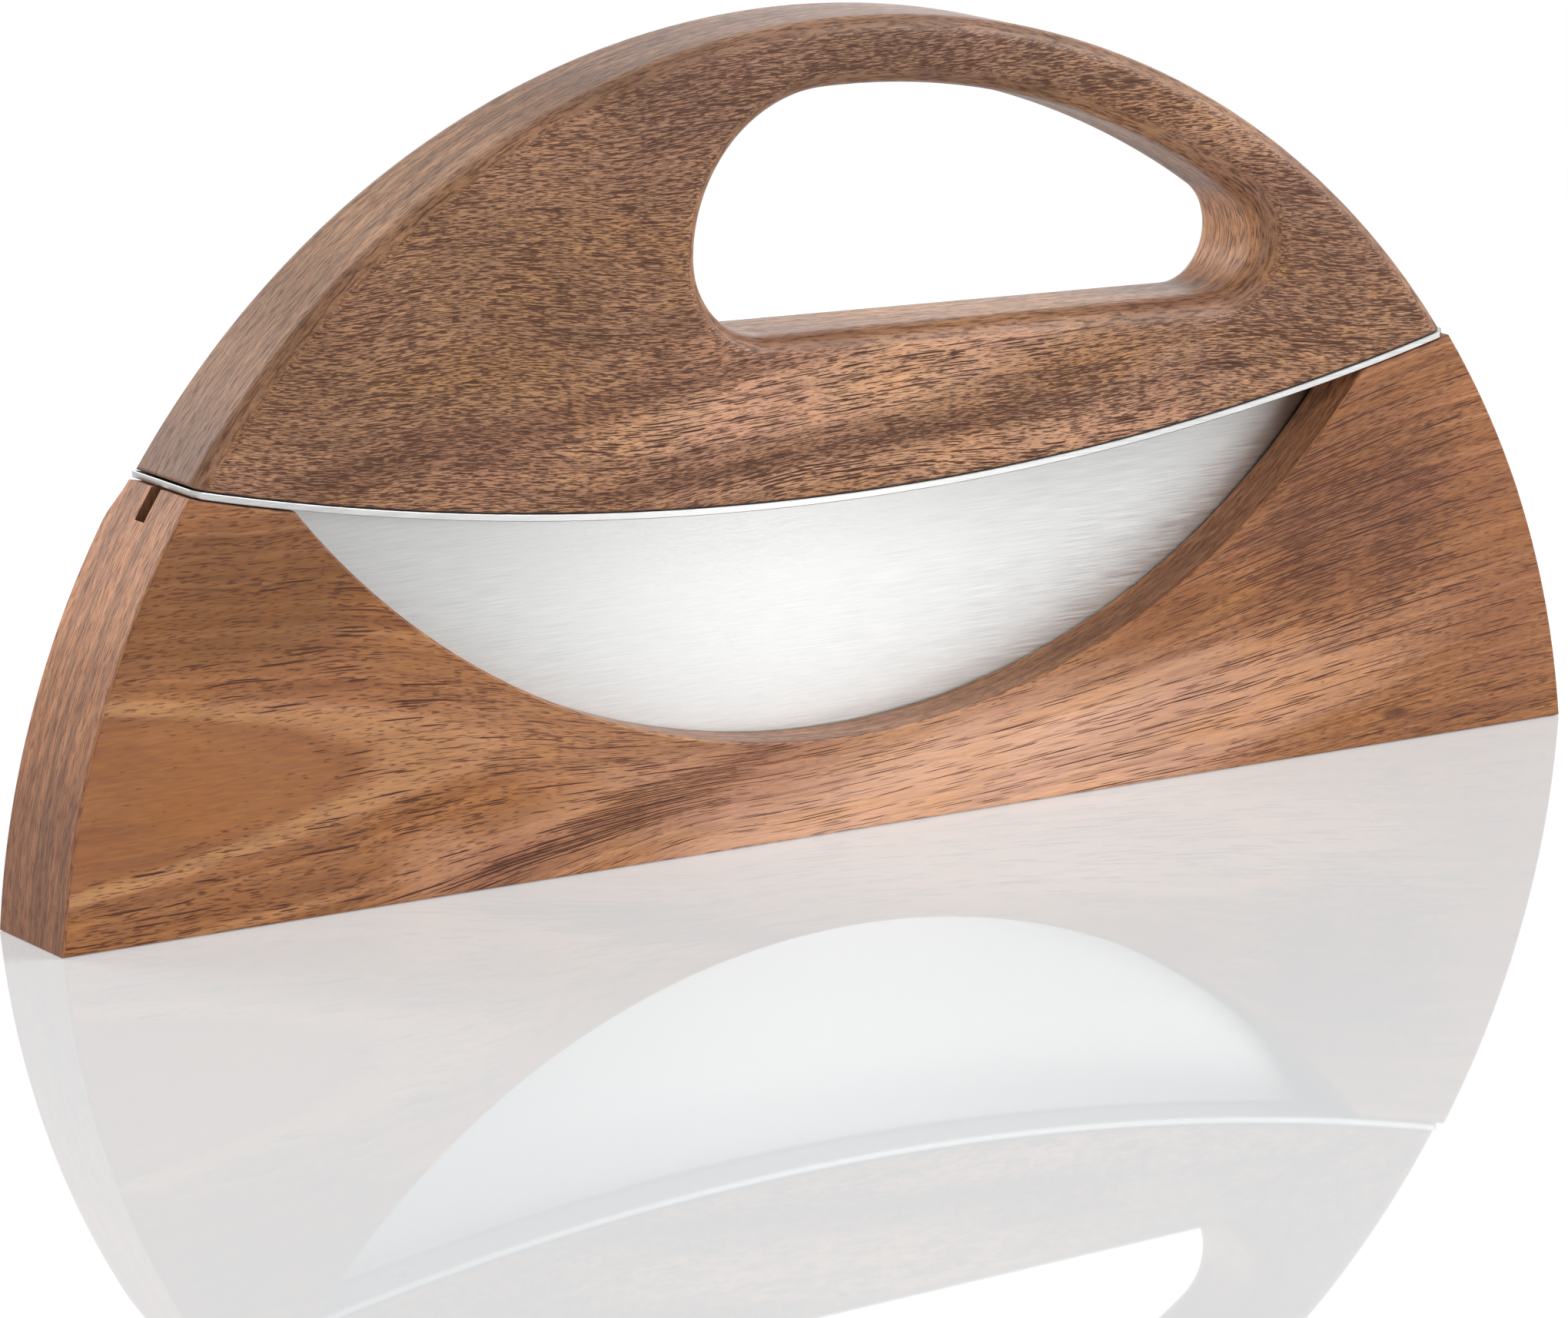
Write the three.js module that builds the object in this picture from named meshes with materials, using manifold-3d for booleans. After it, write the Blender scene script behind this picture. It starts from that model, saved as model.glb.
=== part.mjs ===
// Rocking herb knife standing in its wooden storage block.
// Millimetres: +X along the blade, +Y to the back, +Z up, origin on the table under the middle of the block.
// Outlines are drawn in the XZ plane, with Vector2.x as X and Vector2.y as Z.
import * as THREE from 'three';
import Module from 'manifold-3d';
import { mergeVertices } from 'three/addons/utils/BufferGeometryUtils.js';

// Round outline that the block and the handle share
const baseWidth = 260;
const totalHeight = 120;
const bodyThickness = 20;

// Levels at mid-length, as shares of the total height
const bolsterLevelShare = 0.4125; // underside
const windowLevelShare = 0.119;
const bladeLevelShare = 0.071; // cutting edge

// Bolster: a steel strip bent to a shallow arc between the handle and the blade
const bolsterThickness = 1;
const bolsterArcRadius = 455; // upper face
const bolsterCornerCut = 1.2;
const bolsterEndInset = 0.3; // behind the round outline
const bolsterSeatGap = 0.2; // to the handle above
const bolsterRestGap = 0.2; // to the block below

// Blade: a crescent welded on edge under the bolster
const bladeThickness = 2;
const bladeTipInset = 3.6; // from the bolster's end
const bladeTipHeight = 1.3;
const bladeBevelWidth = 4;
const bladeEdgeThickness = 0.2;
const bladeLeastLand = 0.05; // flat left above the bevel at the tips
const bladeWeldGap = 0.1;

// Block: blade slot and crescent window
const slotSideClearance = 0.4;
const slotFloorClearance = 2; // under the cutting edge at mid-length
const slotEndDepth = 4.4; // below the block's top, on its end faces
const windowShoulder = 16.6; // block top left at each end to carry the bolster
const blockEdgeEase = 0.5;
const blockBackCorner = 2.5; // rounding of the upper corners at the back
const blockCornerReach = 7; // how far along each edge it fades out

// Handle and its hand hole
const handleEdgeRadius = 3;
const handleCornerRadius = 1.5; // where the round back meets the seat
const gripThickness = 10; // bar over the hand hole
const holeLeftEnd = -24.8;
const holeFloorLeftShare = 0.348; // share of the handle's height at mid-length
const holeFloorRightShare = 0.319;
const holeLowerRadius = 12.5;
const holeRightRadius = 8;
const holeRimRadius = 3.5;
const holeRightRimRadius = 5; // round the narrow right end
const holeRimFade = 30; // length of ceiling over which the wider rim runs out

// Countersunk screws through the bolster into the handle
const screwEndInset = 32; // from the bolster's end
const screwHeadRadius = 3.2;
const screwShankRadius = 1.6;
const screwLength = 14;
const screwTipLength = 3.5;
const screwHeadSink = 0.1; // below the bolster's underside
const screwHeadLand = 0.2; // straight rim of the head
const screwClearance = 0.15;

// Facets
const outerSteps = 84;
const bolsterSteps = 48;
const windowSteps = 56;
const bladeSteps = 60;
const cornerSteps = 7;
const roundSteps = 4;
const screwSides = 20;

// Points closer than this are one point
const samePlace = 1e-5;

const wasm = await Module();
wasm.setup();

// Driven sizes
const halfWidth = baseWidth / 2;
const halfThickness = bodyThickness / 2;
const outerRadius = (halfWidth ** 2 + totalHeight ** 2) / (2 * totalHeight);
const outerCentre = new THREE.Vector2(0, totalHeight - outerRadius);
const bolsterTop = bolsterLevelShare * totalHeight + bolsterThickness;
const bolsterCentre = new THREE.Vector2(0, bolsterTop + bolsterArcRadius);
const bolsterUnderRadius = bolsterArcRadius + bolsterThickness;
const blockTopRadius = bolsterUnderRadius + bolsterRestGap;
const handleSeatRadius = bolsterArcRadius - bolsterSeatGap;
const downAngle = -Math.PI / 2;

// The crossing of two circles that lies on the +X side
function crossing(centreA, radiusA, centreB, radiusB) {
  const between = centreB.clone().sub(centreA);
  const distance = between.length();
  const along = (radiusA ** 2 - radiusB ** 2 + distance ** 2) / (2 * distance);
  const aside = Math.sqrt(radiusA ** 2 - along ** 2);
  const direction = between.divideScalar(distance);
  const candidates = [1, -1].map((side) => new THREE.Vector2(
    centreA.x + along * direction.x - side * aside * direction.y,
    centreA.y + along * direction.y + side * aside * direction.x,
  ));
  return candidates[0].x > candidates[1].x ? candidates[0] : candidates[1];
}

// Radius of the circle through a low point on the middle plane and a point to one side of it
function radiusThrough(lowPoint, sidePoint) {
  const rise = sidePoint.y - lowPoint;
  return (sidePoint.x ** 2 + rise ** 2) / (2 * rise);
}

// Height of a hanging arc, given its centre height and radius, at a distance from the middle
function hangingArc(centreHeight, radius, x) {
  return centreHeight - Math.sqrt(radius ** 2 - x ** 2);
}

function angleFrom(centre, point) {
  return Math.atan2(point.y - centre.y, point.x - centre.x);
}

function onCircle(centre, radius, angle) {
  return new THREE.Vector2(centre.x + radius * Math.cos(angle), centre.y + radius * Math.sin(angle));
}

// Points along an arc, both ends included
function arc(centre, radius, from, to, steps) {
  return Array.from({ length: steps + 1 }, (_, i) => (
    onCircle(centre, radius, THREE.MathUtils.lerp(from, to, i / steps))
  ));
}

// Closed outline of points that each carry the rounding radius of the front and back edges there
function outline(...runs) {
  const points = [];
  for (const { path, ease, backEase = ease } of runs) {
    path.forEach((point, i) => {
      const last = points[points.length - 1];
      const along = i / (path.length - 1);
      if (last && last.point.distanceTo(point) < samePlace) return;
      points.push({ point, front: ease(along), back: backEase(along) });
    });
  }
  if (points[0].point.distanceTo(points[points.length - 1].point) < samePlace) points.pop();
  return points;
}

// Offset direction into the material, on the left of the direction of travel, mitred at corners
function inwardDirection(loop, i) {
  const before = loop[(i + loop.length - 1) % loop.length].point;
  const here = loop[i].point;
  const after = loop[(i + 1) % loop.length].point;
  const arriving = here.clone().sub(before).normalize();
  const leaving = after.clone().sub(here).normalize();
  const left = new THREE.Vector2(-arriving.y - leaving.y, arriving.x + leaving.x);
  return left.divideScalar(1 + arriving.dot(leaving));
}

// Slab between the front and back faces, with rounded edges whose radius follows the outline.
// The outer loop runs anticlockwise seen from the front and a hole runs clockwise.
function roundedSlab(outer, holes) {
  const loops = [outer, ...holes];
  const layers = [];
  for (let k = roundSteps; k >= 0; k -= 1) layers.push({ side: -1, turn: (k / roundSteps) * (Math.PI / 2) });
  for (let k = 0; k <= roundSteps; k += 1) layers.push({ side: 1, turn: (k / roundSteps) * (Math.PI / 2) });
  const positions = [];
  const index = [];
  const starts = [];
  for (const loop of loops) {
    starts.push(positions.length / 3);
    const inward = loop.map((_, i) => inwardDirection(loop, i));
    for (const { side, turn } of layers) {
      loop.forEach(({ point, front, back }, i) => {
        const ease = side < 0 ? front : back;
        const shift = ease * (1 - Math.cos(turn));
        const depth = side * (halfThickness - ease * (1 - Math.sin(turn)));
        positions.push(point.x + inward[i].x * shift, depth, point.y + inward[i].y * shift);
      });
    }
  }
  loops.forEach((loop, l) => {
    for (let j = 0; j < layers.length - 1; j += 1) {
      for (let i = 0; i < loop.length; i += 1) {
        const next = (i + 1) % loop.length;
        const a = starts[l] + j * loop.length + i;
        const b = starts[l] + j * loop.length + next;
        const c = b + loop.length;
        const d = a + loop.length;
        index.push(a, d, c, a, c, b);
      }
    }
  });
  const faceLoop = (l, layer) => loops[l].map((_, i) => starts[l] + layer * loops[l].length + i);
  const flat = (ids) => ids.map((id) => new THREE.Vector2(positions[3 * id], positions[3 * id + 2]));
  const frontIds = loops.map((_, l) => faceLoop(l, 0));
  const backIds = loops.map((_, l) => faceLoop(l, layers.length - 1));
  const triangles = THREE.ShapeUtils.triangulateShape(flat(frontIds[0]), frontIds.slice(1).map(flat));
  const front = frontIds.flat();
  const back = backIds.flat();
  for (const [a, b, c] of triangles) {
    index.push(front[a], front[b], front[c]);
    index.push(back[a], back[c], back[b]);
  }
  const geometry = new THREE.BufferGeometry();
  geometry.setAttribute('position', new THREE.Float32BufferAttribute(positions, 3));
  geometry.setIndex(index);
  return geometry;
}

// Straight prism of an XZ outline, centred on the middle plane
function prism(points, width) {
  const geometry = new THREE.ExtrudeGeometry(new THREE.Shape(points), { depth: width, bevelEnabled: false });
  return geometry.rotateX(Math.PI / 2).translate(0, width / 2, 0);
}

// Closed solid ready for cutting: shared vertices merged and empty triangles dropped
function toSolid(geometry) {
  const bare = geometry.clone();
  bare.deleteAttribute('normal');
  bare.deleteAttribute('uv');
  const merged = mergeVertices(bare, samePlace);
  const ids = merged.index.array;
  const triVerts = [];
  for (let t = 0; t < ids.length; t += 3) {
    const [a, b, c] = [ids[t], ids[t + 1], ids[t + 2]];
    if (a !== b && b !== c && c !== a) triVerts.push(a, b, c);
  }
  return new wasm.Manifold(new wasm.Mesh({
    numProp: 3,
    vertProperties: new Float32Array(merged.attributes.position.array),
    triVerts: new Uint32Array(triVerts),
  }));
}

function toGeometry(solid) {
  const mesh = solid.getMesh();
  const geometry = new THREE.BufferGeometry();
  geometry.setAttribute('position', new THREE.BufferAttribute(new Float32Array(mesh.vertProperties), 3));
  geometry.setIndex(new THREE.BufferAttribute(new Uint32Array(mesh.triVerts), 1));
  return geometry;
}

// Block: round outline up to the bolster, open in the middle for the window, with a kerf for the blade
function makeStand(bladeEdge) {
  const topCorner = crossing(outerCentre, outerRadius, bolsterCentre, blockTopRadius);
  const windowLowPoint = windowLevelShare * totalHeight;
  const windowEdge = topCorner.x - windowShoulder;
  const windowEnd = new THREE.Vector2(windowEdge, hangingArc(bolsterCentre.y, blockTopRadius, windowEdge));
  const windowRadius = radiusThrough(windowLowPoint, windowEnd);
  const windowCentre = new THREE.Vector2(0, windowLowPoint + windowRadius);
  const baseAngle = angleFrom(outerCentre, new THREE.Vector2(halfWidth, 0));
  const cornerAngle = angleFrom(outerCentre, topCorner);
  const topFrom = angleFrom(bolsterCentre, topCorner);
  const topTo = angleFrom(bolsterCentre, windowEnd);
  const windowAngle = angleFrom(windowCentre, windowEnd);
  const mirrored = (angle) => Math.PI - angle;
  const sideSteps = Math.round(outerSteps / 4);
  const ease = () => blockEdgeEase;

  // The back edge is sanded round towards the two upper corners
  const { lerp, smoothstep } = THREE.MathUtils;
  const sideLength = outerRadius * (cornerAngle - baseAngle);
  const fade = (distance) => smoothstep(distance, 0, blockCornerReach);
  const sanded = (distance) => lerp(blockBackCorner, blockEdgeEase, fade(distance));
  const upSide = (t) => sanded((1 - t) * sideLength);
  const downSide = (t) => sanded(t * sideLength);
  const inTop = (t) => sanded(t * windowShoulder);
  const outTop = (t) => sanded((1 - t) * windowShoulder);
  const loop = outline(
    { path: arc(outerCentre, outerRadius, baseAngle, cornerAngle, sideSteps), ease, backEase: upSide },
    { path: arc(bolsterCentre, blockTopRadius, topFrom, topTo, cornerSteps), ease, backEase: inTop },
    { path: arc(windowCentre, windowRadius, windowAngle, 2 * downAngle - windowAngle, windowSteps), ease },
    {
      path: arc(bolsterCentre, blockTopRadius, 2 * downAngle - topTo, 2 * downAngle - topFrom, cornerSteps),
      ease,
      backEase: outTop,
    },
    {
      path: arc(outerCentre, outerRadius, mirrored(cornerAngle), mirrored(baseAngle), sideSteps),
      ease,
      backEase: downSide,
    },
  );

  // The kerf's floor is an arc that breaks out of both end faces
  const slotLow = bladeEdge.lowPoint - slotFloorClearance;
  const mouthHeight = topCorner.y - slotEndDepth;
  const mouthReach = Math.sqrt(outerRadius ** 2 - (mouthHeight - outerCentre.y) ** 2);
  const mouth = new THREE.Vector2(mouthReach, mouthHeight);
  const slotRadius = radiusThrough(slotLow, mouth);
  const slotCentre = new THREE.Vector2(0, slotLow + slotRadius);
  const kerfReach = mouthReach + slotSideClearance;
  const kerfTop = topCorner.y + slotFloorClearance;
  const sweep = Math.asin(kerfReach / slotRadius);
  const kerf = arc(slotCentre, slotRadius, downAngle - sweep, downAngle + sweep, windowSteps);
  kerf.push(new THREE.Vector2(kerfReach, kerfTop), new THREE.Vector2(-kerfReach, kerfTop));
  const cutter = toSolid(prism(kerf, bladeThickness + 2 * slotSideClearance));
  return toGeometry(toSolid(roundedSlab(loop, [])).subtract(cutter));
}

// Hand hole: bar of even thickness above, nearly level floor, tall round left end and small right end
function handHole() {
  const ceilingRadius = outerRadius - gripThickness;
  const handleHeight = totalHeight - bolsterTop;
  const floorLeft = bolsterTop + holeFloorLeftShare * handleHeight;
  const floorRight = bolsterTop + holeFloorRightShare * handleHeight;
  const roomLeft = outerCentre.y + Math.sqrt(ceilingRadius ** 2 - holeLeftEnd ** 2) - floorLeft;
  const lowerRadius = Math.min(holeLowerRadius, roomLeft / 2);
  const lowerCentre = new THREE.Vector2(holeLeftEnd + lowerRadius, floorLeft + lowerRadius);

  // Upper left arc: upright where it meets the lower one, and tangent to the ceiling
  const springing = lowerCentre.y - outerCentre.y;
  const upperRoom = ceilingRadius ** 2 - holeLeftEnd ** 2 - springing ** 2;
  const upperRadius = upperRoom / (2 * (ceilingRadius + holeLeftEnd));
  const upperCentre = new THREE.Vector2(holeLeftEnd + upperRadius, lowerCentre.y);

  // Right end: tangent to the ceiling
  const rightHeight = floorRight + holeRightRadius;
  const rightRadius = ceilingRadius - holeRightRadius;
  const rightReach = Math.sqrt(rightRadius ** 2 - (rightHeight - outerCentre.y) ** 2);
  const rightCentre = new THREE.Vector2(rightReach, rightHeight);

  // Floor: the line that touches the two lower arcs from below
  const between = rightCentre.clone().sub(lowerCentre);
  const lean = Math.asin((lowerRadius - holeRightRadius) / between.length());
  const floorAngle = Math.atan2(between.y, between.x) + downAngle + lean;

  const ceilingFrom = angleFrom(outerCentre, rightCentre);
  const ceilingTo = angleFrom(outerCentre, upperCentre);
  const ceilingLength = ceilingRadius * (ceilingTo - ceilingFrom);
  const ceilingSteps = Math.round(outerSteps / 3);
  const { lerp, smoothstep } = THREE.MathUtils;
  const fade = (distance) => smoothstep(distance, 0, holeRimFade);
  const ease = () => holeRimRadius;
  const rightEase = () => holeRightRimRadius;
  const ceilingEase = (t) => lerp(holeRightRimRadius, holeRimRadius, fade(t * ceilingLength));
  const rightEnd = arc(rightCentre, holeRightRadius, floorAngle, ceilingFrom, 2 * cornerSteps);
  const ceiling = arc(outerCentre, ceilingRadius, ceilingFrom, ceilingTo, ceilingSteps);
  const loop = outline(
    { path: rightEnd, ease: rightEase },
    { path: ceiling, ease: ceilingEase },
    { path: arc(upperCentre, upperRadius, ceilingTo, Math.PI, 2 * cornerSteps), ease },
    { path: arc(lowerCentre, lowerRadius, Math.PI, floorAngle + 2 * Math.PI, cornerSteps), ease },
  );
  return loop.reverse();
}

// Handle: round back, rounded lower corners, crisp where it sits on the bolster
function makeHandle(screwCutters) {
  const cornerCentre = crossing(
    outerCentre,
    outerRadius - handleCornerRadius,
    bolsterCentre,
    handleSeatRadius - handleCornerRadius,
  );
  const seatAngle = angleFrom(bolsterCentre, cornerCentre);
  const backAngle = angleFrom(outerCentre, cornerCentre);
  const mirrored = (angle) => Math.PI - angle;
  const leftCentre = new THREE.Vector2(-cornerCentre.x, cornerCentre.y);

  // The slab starts as a whole disc, so that its rounded edges run straight down to the seat
  const turn = 2 * Math.PI;
  const discSteps = Math.round((outerSteps * turn) / (Math.PI - 2 * backAngle));
  const disc = arc(outerCentre, outerRadius, downAngle, downAngle + turn, discSteps);
  const slab = toSolid(roundedSlab(outline({ path: disc, ease: () => handleEdgeRadius }), [handHole()]));

  // Everything under the seat and outside the lower corners
  const rightCorner = arc(cornerCentre, handleCornerRadius, seatAngle, backAngle, cornerSteps);
  const seat = arc(bolsterCentre, handleSeatRadius, 2 * downAngle - seatAngle, seatAngle, bolsterSteps);
  const leftFrom = mirrored(backAngle);
  const leftCorner = arc(leftCentre, handleCornerRadius, leftFrom, mirrored(seatAngle), cornerSteps);
  const cornerHeight = onCircle(cornerCentre, handleCornerRadius, backAngle).y;
  const under = [
    ...leftCorner,
    ...seat.slice(1),
    ...rightCorner.slice(1),
    new THREE.Vector2(baseWidth, cornerHeight),
    new THREE.Vector2(baseWidth, -baseWidth),
    new THREE.Vector2(-baseWidth, -baseWidth),
    new THREE.Vector2(-baseWidth, cornerHeight),
  ];
  const body = slab.subtract(toSolid(prism(under, 2 * bodyThickness)));
  return toGeometry(screwCutters.reduce((solid, cutter) => solid.subtract(cutter), body));
}

// Bolster: bent strip with clipped corners and countersunk screw holes
function makeBolster(halfLength, screwCutters) {
  const overrun = Math.asin(halfWidth / bolsterUnderRadius);
  const [from, to] = [downAngle - overrun, downAngle + overrun];
  const under = arc(bolsterCentre, bolsterUnderRadius, from, to, bolsterSteps);
  const upper = arc(bolsterCentre, bolsterArcRadius, to, from, bolsterSteps);
  const strip = toSolid(prism([...under, ...upper], bodyThickness + 2 * bolsterThickness));

  const plan = new THREE.Shape();
  const corners = [[1, -1], [1, 1], [-1, 1], [-1, -1]];
  corners.forEach(([sideX, sideY], i) => {
    const onEnd = [sideX * halfLength, sideY * (halfThickness - bolsterCornerCut)];
    const onLong = [sideX * (halfLength - bolsterCornerCut), sideY * halfThickness];
    const [first, second] = i % 2 === 0 ? [onLong, onEnd] : [onEnd, onLong];
    if (i === 0) plan.moveTo(...first);
    else plan.lineTo(...first);
    plan.lineTo(...second);
  });
  plan.closePath();
  const blank = new THREE.ExtrudeGeometry(plan, { depth: totalHeight, bevelEnabled: false });
  const trimmed = strip.intersect(toSolid(blank));
  return toGeometry(screwCutters.reduce((solid, cutter) => solid.subtract(cutter), trimmed));
}

// Where the blade runs: its cutting edge is the arc through its low point and its two tips
function bladeEdgeArc(bolsterHalfLength) {
  const topRadius = bolsterUnderRadius + bladeWeldGap;
  const tipReach = bolsterHalfLength - bladeTipInset;
  const tip = new THREE.Vector2(tipReach, hangingArc(bolsterCentre.y, topRadius, tipReach) - bladeTipHeight);
  const lowPoint = bladeLevelShare * totalHeight;
  return { lowPoint, radius: radiusThrough(lowPoint, tip), tip, topRadius };
}

// Blade: section with a ground bevel, swept from tip to tip between the edge arc and the bolster
function makeBlade(edge) {
  const edgeCentre = new THREE.Vector2(0, edge.lowPoint + edge.radius);
  const sweep = Math.asin(edge.tip.x / edge.radius);
  const half = bladeThickness / 2;
  const halfEdge = bladeEdgeThickness / 2;
  const sections = [];
  for (let i = 0; i <= bladeSteps; i += 1) {
    const lean = THREE.MathUtils.lerp(-sweep, sweep, i / bladeSteps);
    const x = edge.radius * Math.sin(lean);
    const edgeHeight = edgeCentre.y - edge.radius * Math.cos(lean);
    const topHeight = hangingArc(bolsterCentre.y, edge.topRadius, x);
    const bevelRise = bladeBevelWidth / Math.cos(lean);
    const bevelHeight = Math.min(edgeHeight + bevelRise, topHeight - bladeLeastLand);
    const grind = (half - halfEdge) / bevelRise;
    const halfAt = (height) => Math.min(half, halfEdge + grind * (height - edgeHeight));
    sections.push([
      [x, -halfEdge, edgeHeight],
      [x, halfEdge, edgeHeight],
      [x, halfAt(bevelHeight), bevelHeight],
      [x, halfAt(topHeight), topHeight],
      [x, -halfAt(topHeight), topHeight],
      [x, -halfAt(bevelHeight), bevelHeight],
    ]);
  }
  const ring = sections[0].length;
  const index = [];
  for (let i = 0; i < bladeSteps; i += 1) {
    for (let j = 0; j < ring; j += 1) {
      const a = i * ring + j;
      const b = i * ring + ((j + 1) % ring);
      index.push(a, b, b + ring, a, b + ring, a + ring);
    }
  }
  const last = bladeSteps * ring;
  for (let j = 1; j < ring - 1; j += 1) {
    index.push(0, j + 1, j);
    index.push(last, last + j, last + j + 1);
  }
  const geometry = new THREE.BufferGeometry();
  geometry.setAttribute('position', new THREE.Float32BufferAttribute(sections.flat(2), 3));
  geometry.setIndex(index);
  return geometry;
}

// Countersunk screw along +Z with its head at the bottom, or its hole when grown by a margin
function screwGeometry(margin, headHeight) {
  const head = screwHeadRadius + margin;
  const shank = screwShankRadius + margin;
  const coneFrom = screwHeadSink + screwHeadLand;
  const profile = [
    new THREE.Vector2(0, headHeight),
    new THREE.Vector2(head, headHeight),
    new THREE.Vector2(head, coneFrom),
    new THREE.Vector2(shank, coneFrom + head - shank),
    new THREE.Vector2(shank, screwLength - screwTipLength),
    new THREE.Vector2(0, screwLength + margin),
  ];
  return new THREE.LatheGeometry(profile, screwSides).rotateX(Math.PI / 2);
}

// Screws stand square to the strip, in a row on each side of the blade
function screwPlaces(bolsterHalfLength) {
  const rowOffset = (halfThickness + bladeThickness / 2) / 2;
  const tilt = Math.asin((bolsterHalfLength - screwEndInset) / bolsterUnderRadius);
  const places = [];
  for (const [endName, sideX] of [['left', -1], ['right', 1]]) {
    for (const [rowName, sideY] of [['front', -1], ['back', 1]]) {
      const foot = onCircle(bolsterCentre, bolsterUnderRadius, downAngle + sideX * tilt);
      places.push({
        name: `screw_${endName}_${rowName}`,
        position: new THREE.Vector3(foot.x, sideY * rowOffset, foot.y),
        tilt: -sideX * tilt,
      });
    }
  }
  return places;
}

function screwCutter({ position, tilt }) {
  const place = new THREE.Matrix4().makeRotationY(tilt).setPosition(position);
  return toSolid(screwGeometry(screwClearance, -bolsterThickness).applyMatrix4(place));
}

function node(name, geometry, material) {
  const mesh = new THREE.Mesh(geometry, material);
  mesh.name = name;
  return mesh;
}

const handleWood = new THREE.MeshStandardMaterial({ color: 0x8f6245, roughness: 0.55, metalness: 0 });
const blockWood = new THREE.MeshStandardMaterial({ color: 0xa66f48, roughness: 0.55, metalness: 0 });
const brushedSteel = new THREE.MeshStandardMaterial({ color: 0xd2d2d0, roughness: 0.32, metalness: 1 });
const screwSteel = new THREE.MeshStandardMaterial({ color: 0xb8b8b6, roughness: 0.3, metalness: 1 });

const bolsterMid = crossing(outerCentre, outerRadius, bolsterCentre, bolsterArcRadius + bolsterThickness / 2);
const bolsterHalfLength = bolsterMid.x - bolsterEndInset;
const bladeEdge = bladeEdgeArc(bolsterHalfLength);
const screws = screwPlaces(bolsterHalfLength);
const screwCutters = screws.map(screwCutter);

const knife = new THREE.Group();
knife.add(node('handle', makeHandle(screwCutters), handleWood));
knife.add(node('bolster_plate', makeBolster(bolsterHalfLength, screwCutters), brushedSteel));
knife.add(node('blade', makeBlade(bladeEdge), brushedSteel));
for (const { name, position, tilt } of screws) {
  const screw = node(name, screwGeometry(0, screwHeadSink), screwSteel);
  screw.position.copy(position);
  screw.rotation.y = tilt;
  knife.add(screw);
}

const herbKnife = new THREE.Group();
herbKnife.add(node('stand', makeStand(bladeEdge), blockWood));
herbKnife.add(knife);

export default herbKnife;
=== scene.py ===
"""Herb knife in its wooden storage block: pieces, materials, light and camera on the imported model.

Outlines are drawn in millimetres in the XZ plane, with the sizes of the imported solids. The handle's lower
corners, the weld fillet and the screws' threads are finer here.
"""

from math import asin, atan2, cos, pi, radians, sin, sqrt

import bmesh
import bpy
from mathutils import Matrix, Vector
from mathutils.geometry import delaunay_2d_cdt


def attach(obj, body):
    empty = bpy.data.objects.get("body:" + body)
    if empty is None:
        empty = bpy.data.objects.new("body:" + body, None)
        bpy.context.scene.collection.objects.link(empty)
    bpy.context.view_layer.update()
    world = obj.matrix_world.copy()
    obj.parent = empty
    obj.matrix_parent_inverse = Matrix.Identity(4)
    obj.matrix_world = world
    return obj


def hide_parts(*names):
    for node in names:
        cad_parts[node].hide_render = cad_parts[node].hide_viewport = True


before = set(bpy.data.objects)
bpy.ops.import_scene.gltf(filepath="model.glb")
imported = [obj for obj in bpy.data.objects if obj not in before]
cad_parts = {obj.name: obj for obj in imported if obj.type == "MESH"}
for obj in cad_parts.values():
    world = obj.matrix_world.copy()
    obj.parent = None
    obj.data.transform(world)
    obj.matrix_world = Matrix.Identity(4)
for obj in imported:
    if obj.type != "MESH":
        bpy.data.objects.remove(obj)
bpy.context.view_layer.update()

MM = 0.001

# Round outline that the block and the handle share
BASE_WIDTH = 260.0
TOTAL_HEIGHT = 120.0
THICKNESS = 20.0

# Bolster: steel strip bent to a shallow arc
BOLSTER_THICKNESS = 1.0
BOLSTER_LOW = 0.4125 * TOTAL_HEIGHT
BOLSTER_ARC = 455.0
BOLSTER_CORNER = 1.2
BOLSTER_END_INSET = 0.3
BOLSTER_EDGE = 0.12
SEAT_GAP = 0.2
REST_GAP = 0.2

# Blade: crescent with a ground bevel, welded on edge under the bolster
BLADE_THICKNESS = 2.0
BLADE_LOW = 0.071 * TOTAL_HEIGHT
BLADE_TIP_INSET = 3.6
BLADE_TIP_HEIGHT = 1.3
BLADE_BEVEL = 4.0
BLADE_EDGE = 0.2
BLADE_LEAST_LAND = 0.05
WELD_GAP = 0.1
WELD_FILLET = 0.7
WELD_SHARE = 0.9

# Block: blade slot and crescent window
SLOT_SIDE = 0.4
SLOT_FLOOR = 2.0
SLOT_END_DEPTH = 4.4
WINDOW_LOW = 0.119 * TOTAL_HEIGHT
WINDOW_SHOULDER = 16.6
BLOCK_EASE = 0.5
BLOCK_BACK_CORNER = 2.5
BLOCK_CORNER_REACH = 7.0

# Handle and its hand hole
HANDLE_EDGE = 3.0
HANDLE_CORNER = 0.5
GRIP = 10.0
HOLE_LEFT = -24.8
HOLE_FLOOR_LEFT = 0.348
HOLE_FLOOR_RIGHT = 0.319
HOLE_LOWER_RADIUS = 12.5
HOLE_RIGHT_RADIUS = 8.0
HOLE_RIM = 3.5
HOLE_RIGHT_RIM = 5.0
HOLE_RIM_FADE = 30.0

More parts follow.
